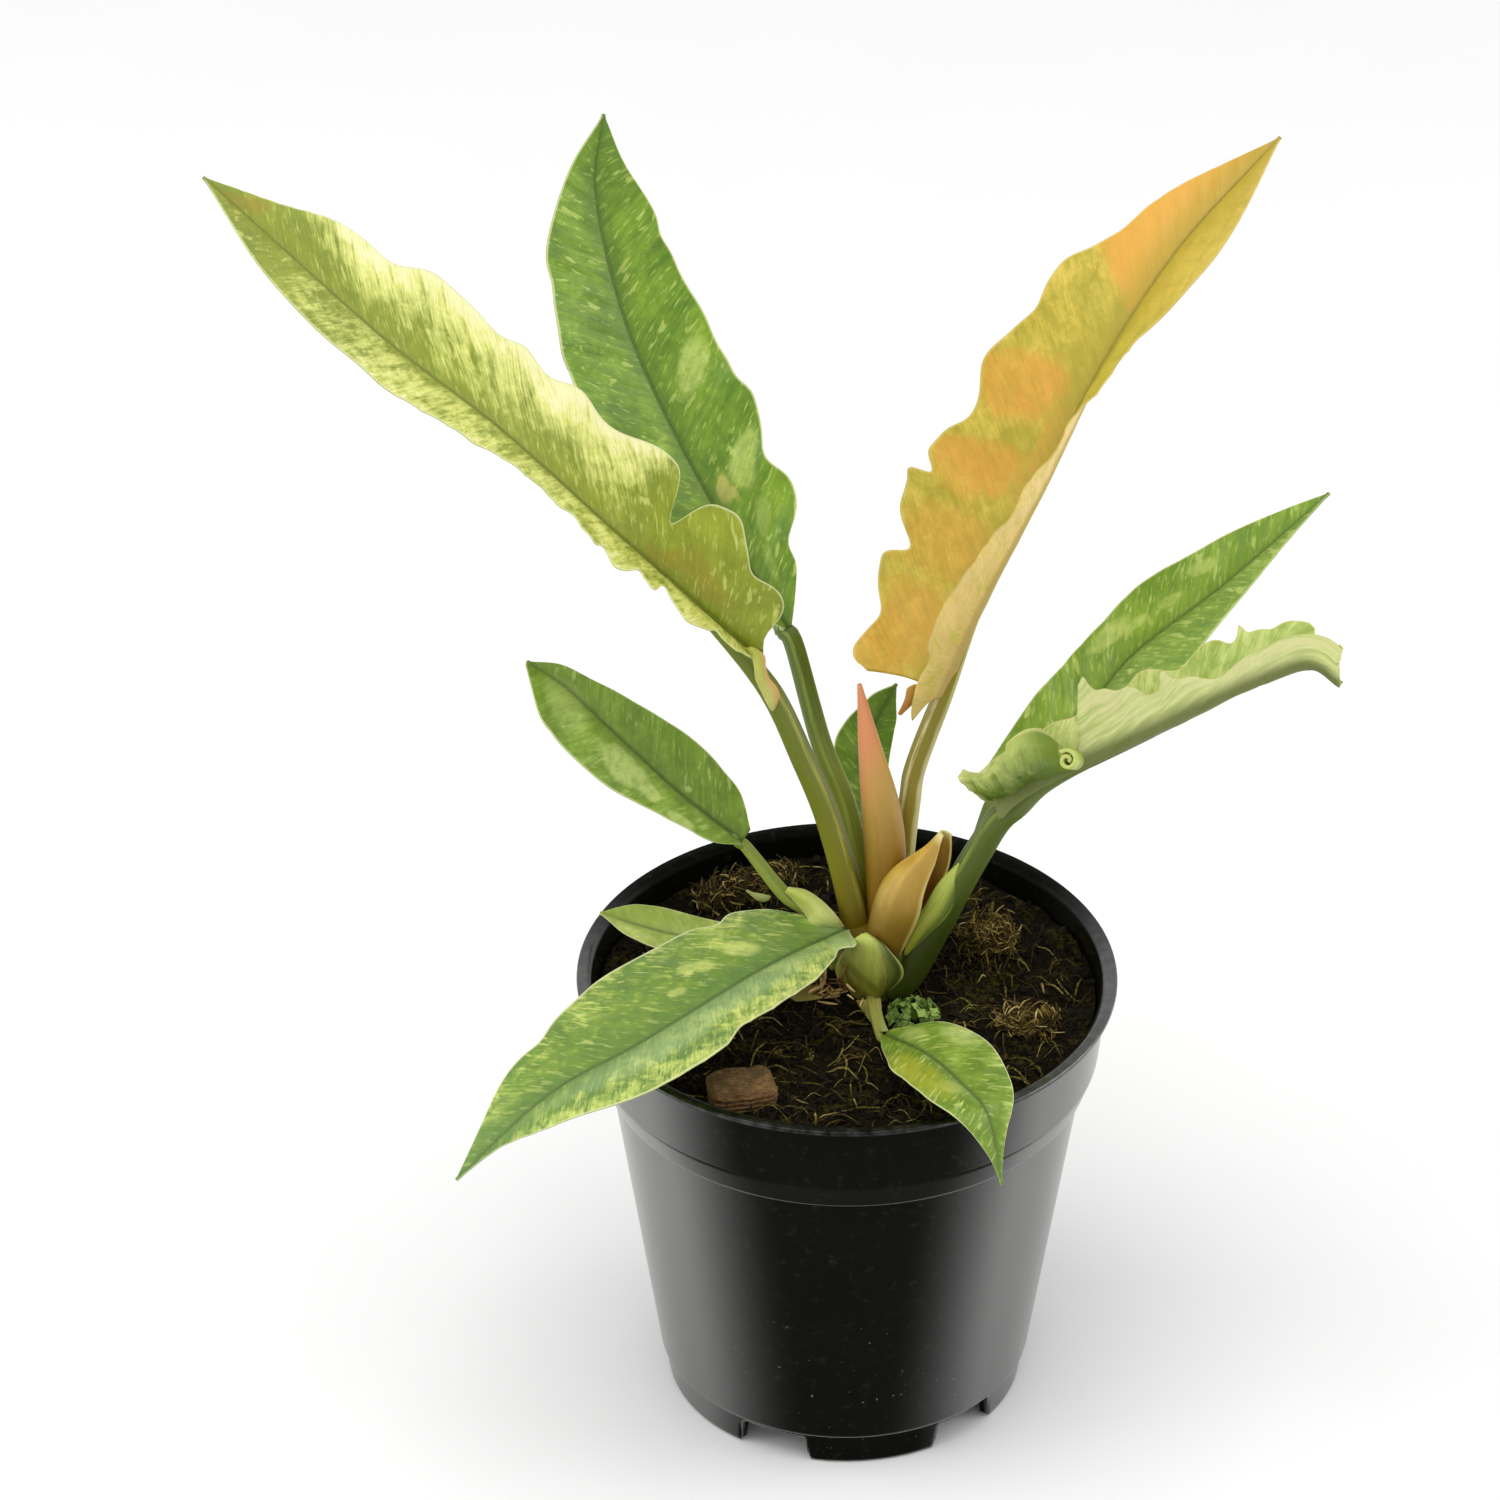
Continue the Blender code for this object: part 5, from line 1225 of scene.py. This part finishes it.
def paintSpike(paint):
    turn, along = mapParts(paint, "wrap")
    streak = noise(paint, vector(paint, turn * 22, along * 0.08), 1, 3)
    blotch = noise(paint, objectPlace(paint), 0.12, 2)
    parts = paint.node("ShaderNodeSeparateXYZ", None, {"Vector": objectPlace(paint)})
    pink = (along * 0.026 - parts * 0.06 - 0.66 + streak * 0.4 + blotch * 0.3).ease(0.2, 1.1)
    colour = pink.mix(tone(192, 154, 72), tone(220, 144, 96))
    colour = (1 - (along + streak * 8).ease(18, 54)).mix(colour, tone(132, 100, 12))
    colour = (1 - along.ease(4, 16)).mix(colour, tone(112, 84, 10))
    return {"Base Color": colour, "Roughness": 0.36 + streak * 0.12, "Normal": bump(paint, streak, 0.2)}


def paintSheath(paint):
    turn, along = mapParts(paint, "wrap")
    streak = noise(paint, vector(paint, turn * 5, along * 0.1), 1, 4, 0.6)
    stain = noise(paint, objectPlace(paint), 0.16, 3)
    colour = streak.ease(0.3, 0.7).mix(tone(184, 146, 48), tone(206, 176, 82))
    colour = (stain.ease(0.5, 0.68) * 0.3).mix(colour, tone(164, 116, 34))
    colour = (turn.ease(0.58, 0.68) * 0.7).mix(colour, tone(156, 122, 34))
    colour = (1 - (along + stain * 8).ease(9, 28)).mix(colour, tone(122, 94, 12))
    colour = (abs(turn).ease(0.93, 0.99) * 0.6).mix(colour, tone(226, 208, 128))
    colour = along.ease(31, 34).mix(colour, tone(226, 212, 140))
    return {"Base Color": colour, "Roughness": 0.42 + streak * 0.2, "Normal": bump(paint, streak, 0.25)}


stemSkin = newMaterial("stemSkin", paintStem, Subsurface_Weight=0.1, Subsurface_Scale=0.003,
                       Specular_IOR_Level=0.15)
spikeSkin = newMaterial("spikeSkin", paintSpike, Subsurface_Weight=0.2, Subsurface_Scale=0.004)
sheathSkin = newMaterial("sheathSkin", paintSheath, Subsurface_Weight=0.1, Subsurface_Scale=0.002)
makeStem()
makeSpike()
makeSheath()
print("stem, rolled leaf and sheath made")

# ---- flaps, wing, roll and scraps

# Each sheet: the rows of its net, from its foot or upper end on; colours at its first row, at its
# last and at its edges; and how far noise lifts it.
flaps = {
    "curledLeafLobe": dict(
        net=(((31, 0, 151.5), (34.9, -1.5, 153.1), (39.6, -2.5, 156.4), (45.2, -3, 160.6), (49.7, -3.5, 163.8)),
             ((26.5, -3, 156.2), (31.8, -5.5, 158.9), (37.6, -6.5, 162.7), (43, -6.5, 165.8), (47.6, -5.5, 166.7)),
             ((23.8, -2.5, 159.8), (29.6, -4.5, 161.6), (35.4, -6.5, 167.9), (41.4, -5.5, 169.6), (46.7, -4.5, 167.9)),
             ((25, 0.5, 159.9), (31.7, -1, 161.1), (35.9, -2, 170.9), (41.5, -1, 172.1), (47, -2, 168.1))),
        # painted shade: shade darkens the lobe towards its right side, in the fold beside the roll
        first=(78, 102, 8), last=(176, 188, 98), edge=(222, 220, 150), shade=(108, 132, 26), wave=1.9, rim=1),
    "leftLeafTail": dict(
        net=(((-22.8, 7, 187.7), (-21.6, 6.5, 187.7), (-20.1, 7, 186.7)),
             ((-21.1, 6.2, 186.3), (-19.8, 5.4, 186.5), (-18.5, 6, 185.7)),
             ((-20.4, 5.6, 183.6), (-19.3, 4.8, 183.8), (-18.4, 5.6, 183.6)),
             ((-20.1, 5.5, 180.4), (-18.7, 4.7, 180.6), (-17.6, 5.6, 180.7)),
             ((-18.7, 5.7, 176.6), (-17.2, 4.8, 177.6), (-15.6, 5.6, 177.8)),
             ((-17.6, 5.8, 173.8), (-16.4, 5.1, 174.9), (-15.4, 5.8, 175.5)),
             ((-16.8, 6, 172), (-16.5, 6, 172), (-16.3, 6, 172.1))),
        first=(172, 178, 66), last=(204, 200, 116), edge=(210, 200, 134), shade=(214, 166, 104), wave=0.2),
    "orangeLeafTail": dict(
        net=(((13.1, 15, 171.8), (14.6, 14, 173.5), (16.1, 15, 171.8)),
             ((12.5, 15, 168.6), (13.5, 14.4, 169.3), (14.6, 15, 168.6)),
             ((11.2, 15.2, 165.1), (11.4, 15, 165), (11.6, 15.2, 165.1))),
        first=(196, 150, 66), last=(190, 128, 56), edge=(214, 176, 96), wave=0.05),
    "stemFlap": dict(
        net=(((3.4, -3, 118.5), (3.9, -3.4, 119), (4.5, -3.2, 118.6)),
             ((0.9, -2, 115.8), (4.8, -5.2, 118.3), (8.8, -5, 116.1)),
             ((-1.3, -0.5, 111.1), (5, -6, 114.3), (12, -5.2, 111.9)),
             ((-2.2, 0.5, 106.3), (5.4, -6.2, 109.9), (12.2, -4.6, 108.5)),
             ((-0.5, -1, 103.2), (5.9, -5.4, 105.4), (10, -4, 105.3)),
             ((4, -2.4, 102.1), (6.1, -3.4, 101.4), (7.8, -3, 102.1))),
        # painted shade: shade darkens the flap towards its right side
        first=(182, 194, 92), last=(156, 150, 52), edge=(188, 194, 104), shade=(66, 76, 6), wave=0.3,
        # painted shade: a dark olive line where the flap folds
        foldShadeLine=(-1.94, 2.6)),
    "sheathStrap": dict(
        net=(((-13.5, 9, 122), (-13.1, 8.8, 122.6), (-12.6, 9, 122.5)),
             ((-11.4, 8, 119.9), (-10.3, 7, 122.2), (-9.2, 8, 122.6)),
             ((-8.8, 6, 117.6), (-7.3, 5, 120.8), (-5.8, 6, 121.5)),
             ((-7.7, 3.5, 116.2), (-5.4, 3, 119.2), (-3.2, 4, 119.9)),
             ((-5.6, 3, 116.6), (-3.6, 2.6, 117.6), (-1.8, 3.2, 118.6)),
             ((-2.4, 3.4, 115.4), (-1.6, 3.4, 115.8), (-0.6, 3.8, 116.2))),
        first=(178, 188, 84), last=(192, 200, 120), edge=(214, 196, 160), wave=0.3),
    "smallSheath": dict(
        net=(((2.2, -3.5, 101.2), (4.6, -5.5, 102.6), (7.3, -4, 102.1)),
             ((4, -7, 100.2), (5.7, -9, 101.9), (7.5, -8, 101.2)),
             ((5.9, -12, 100.7), (6.7, -13.5, 102.1), (8.1, -13, 101.7)),
             ((7.6, -18, 102.6), (8, -19, 103.6), (8.7, -18, 102.6))),
        first=(168, 160, 76), last=(160, 170, 88), edge=(196, 190, 110), wave=0.1),
    "smallBract": dict(
        net=(((-18.2, 13, 116.2), (-17.3, 12.5, 117.1), (-16.8, 13, 117.9)),
             ((-20, 13.5, 116.4), (-19.3, 13, 117.6), (-18.6, 13.5, 118.1)),
             ((-22.4, 14, 118.5), (-22.2, 14, 118.8), (-22, 14, 118.5))),
        first=(150, 162, 80), last=(190, 192, 120), edge=(190, 192, 120), wave=0.05),
    "paleScrap": dict(
        net=(((-12.9, -4, 104.3), (-10.4, -4.5, 105.7), (-7.1, -4, 105.6)),
             ((-12.9, -4.5, 103), (-9.8, -5, 104.2), (-5.3, -4.5, 103.8)),
             ((-11.3, -5, 102), (-8.7, -5.2, 102.4), (-5.6, -5, 102.8))),
        first=(126, 108, 38), last=(176, 160, 80), edge=(182, 158, 84), wave=0.7),
}
wing = dict(points=((12.8, -3.0, 113.0), (16.2, -2.9, 120.2), (19.7, -2.6, 125.2), (22.4, -2.2, 130.9), (25.1, -1.6, 136.2)),
            radii=(0.4, 2.0, 2.7, 2.6, 1.0), thin=0.3)
roll = dict(centre=(48.0, -8.5, 168.3), radius=2.75, turns=1.5, length=5.0, axis=(-0.35, -0.75, 0.55),
            thickness=0.85)
slivers = dict(count=46, place=(-4.2, -3.2, 104.2), spread=(3.8, 1.8, 1.6), length=(2.5, 7.0), radius=(0.18, 0.5), seed=3)


def flapMaterial(name, first, last, edge, shade=None, rim=0, foldShadeLine=None):
    def build(paint):
        turn, along = mapParts(paint, "wrap")
        streak = noise(paint, vector(paint, turn * 7, along * 2.2), 1, 5, 0.65, 0.4)
        colour = (along + (streak - 0.5) * 1.3).ease(0.05, 0.95).mix(tone(*first), tone(*last))
        # painted shade on curledLeafLobe and stemFlap: their shade colour darkens the side where turn is high; on
        # leftLeafTail and the wing that colour is their own pink and stalk green
        if shade:
            colour = (turn + (streak - 0.5) * 0.5 + along * 0.3).ease(0.1, 0.95).mix(colour, tone(*shade))
        # painted shade: a dark olive line along a fold that the smooth sheet doesn't have
        if foldShadeLine:
            line = abs(turn - foldShadeLine[0] - along * foldShadeLine[1] + (streak - 0.5) * 0.3)
            colour = ((1 - line.ease(0.05, 0.3)) * along.ease(0.3, 0.45) * 0.6).mix(colour, tone(104, 112, 20))
        border = abs(turn).ease(0.86, 0.98)
        if rim:
            border = border.math("MAXIMUM", border, along.ease(0.93, 0.99))
        colour = (border * 0.6).mix(colour, tone(*edge))
        return {"Base Color": colour, "Roughness": 0.4 + streak * 0.2, "Normal": bump(paint, streak, 0.3)}
    return newMaterial(name + "Skin", build, Subsurface_Weight=0.12, Subsurface_Scale=0.002,
                       Subsurface_Radius=(0.6, 1.0, 0.25))


# The wing on the curled leaf's stalk: rings along a path, flattened towards the camera.
def makeWing():
    shares = np.linspace(0, 1, 40)
    path = evenPath(wing["points"], shares)
    radii = np.maximum(smoothThrough(wing["radii"], shares)[:, 0], 0.3)[:, None]
    ahead = unit(np.gradient(path, axis=0))
    aside = unit(np.cross(ahead, (0, -0.83, 0.55)))
    over = np.cross(aside, ahead)
    angle = np.arange(24) * tau / 24
    rings = path[:, None] + radii[..., None] * (np.cos(angle)[:, None] * aside[:, None]
                                                + wing["thin"] * np.sin(angle)[:, None] * over[:, None])
    turn = np.cos(np.arange(25) * tau / 24)
    wrap = np.stack(np.broadcast_arrays(turn[None, :], shares[:, None]), axis=-1)
    skin("curledLeafWing", rings, flapMaterial("curledLeafWing", (146, 150, 36), (178, 192, 84), (160, 174, 60),
                                             shade=(84, 100, 12)),
         maps={"wrap": wrap})


# The rolled edge of the curled leaf: a spiral whose radius shrinks with the turn, as long as given.
def makeRoll():
    axis = unit(np.array(roll["axis"]))
    aside = unit(np.cross(axis, (0, 0, 1)))
    over = np.cross(aside, axis)
    turn = np.linspace(0, 1, 60)
    angle = tau * roll["turns"] * turn + 0.6
    radius = roll["radius"] * (1 - 0.72 * turn)
    outer = radius[:, None] * (np.cos(angle)[:, None] * aside + np.sin(angle)[:, None] * over)
    inner = outer * (1 - roll["thickness"] / radius)[:, None]
    ring = np.concatenate([outer, inner[::-1]])
    along = np.linspace(-0.5, 0.5, 6)[:, None, None] * roll["length"] * axis
    rings = np.array(roll["centre"]) + ring[None] + along
    across = np.concatenate([turn, turn[::-1], turn[:1]])
    wrap = np.stack(np.broadcast_arrays(across[None, :] * 2 - 1, np.linspace(0, 1, 6)[:, None]), axis=-1)
    skin("curledLeafRoll", rings, flapMaterial("curledLeafRoll", (140, 158, 50), (186, 196, 104), (196, 200, 110)),
         maps={"wrap": wrap})


# Dried slivers beside the stem: short curved threads that point away from it.
def makeSlivers():
    draw = np.random.default_rng(slivers["seed"])
    count, steps = slivers["count"], 7
    start = np.array(slivers["place"]) + draw.normal(size=(count, 3)) * slivers["spread"]
    start[:, 2] = np.maximum(start[:, 2], bedHeight(start[:, 0], start[:, 1]) + 0.5)
    heading = unit(draw.normal(size=(count, 3)) * (0.7, 0.5, 0.5) + (-0.5, -0.3, 0.55))
    bend = unit(draw.normal(size=(count, 3)))
    share = np.linspace(0, 1, steps)[None, :, None]
    length = draw.uniform(*slivers["length"], (count, 1, 1))
    paths = start[:, None] + length * (heading[:, None] * share + 0.3 * bend[:, None] * share ** 2)
    threads("driedSlivers", paths, draw.uniform(*slivers["radius"], count), draw.uniform(0, 1, count), driedSkin)


def paintDried(paint):
    kind = markValue(paint, "kind")
    shade = noise(paint, objectPlace(paint), 0.9, 3)
    colour = paint.node("ShaderNodeValToRGB", {"stops": [
        (0.0, tone(70, 48, 14)), (1.0, tone(226, 204, 138)), (0.4, tone(146, 108, 46)),
        (0.7, tone(206, 168, 98))]}, {"Fac": kind * 0.9 + (shade - 0.5) * 0.6})
    return {"Base Color": colour, "Roughness": 0.6 + shade * 0.2}


driedSkin = newMaterial("driedSkin", paintDried)
makeSlivers()
for flapName, flap in flaps.items():
    colours = {part: flap[part] for part in ("first", "last", "edge", "shade", "rim", "foldShadeLine") if part in flap}
    sheet(flapName, flap["net"], flapMaterial(flapName, **colours), wave=flap["wave"])
makeWing()
makeRoll()
print("flaps, wing and roll made")
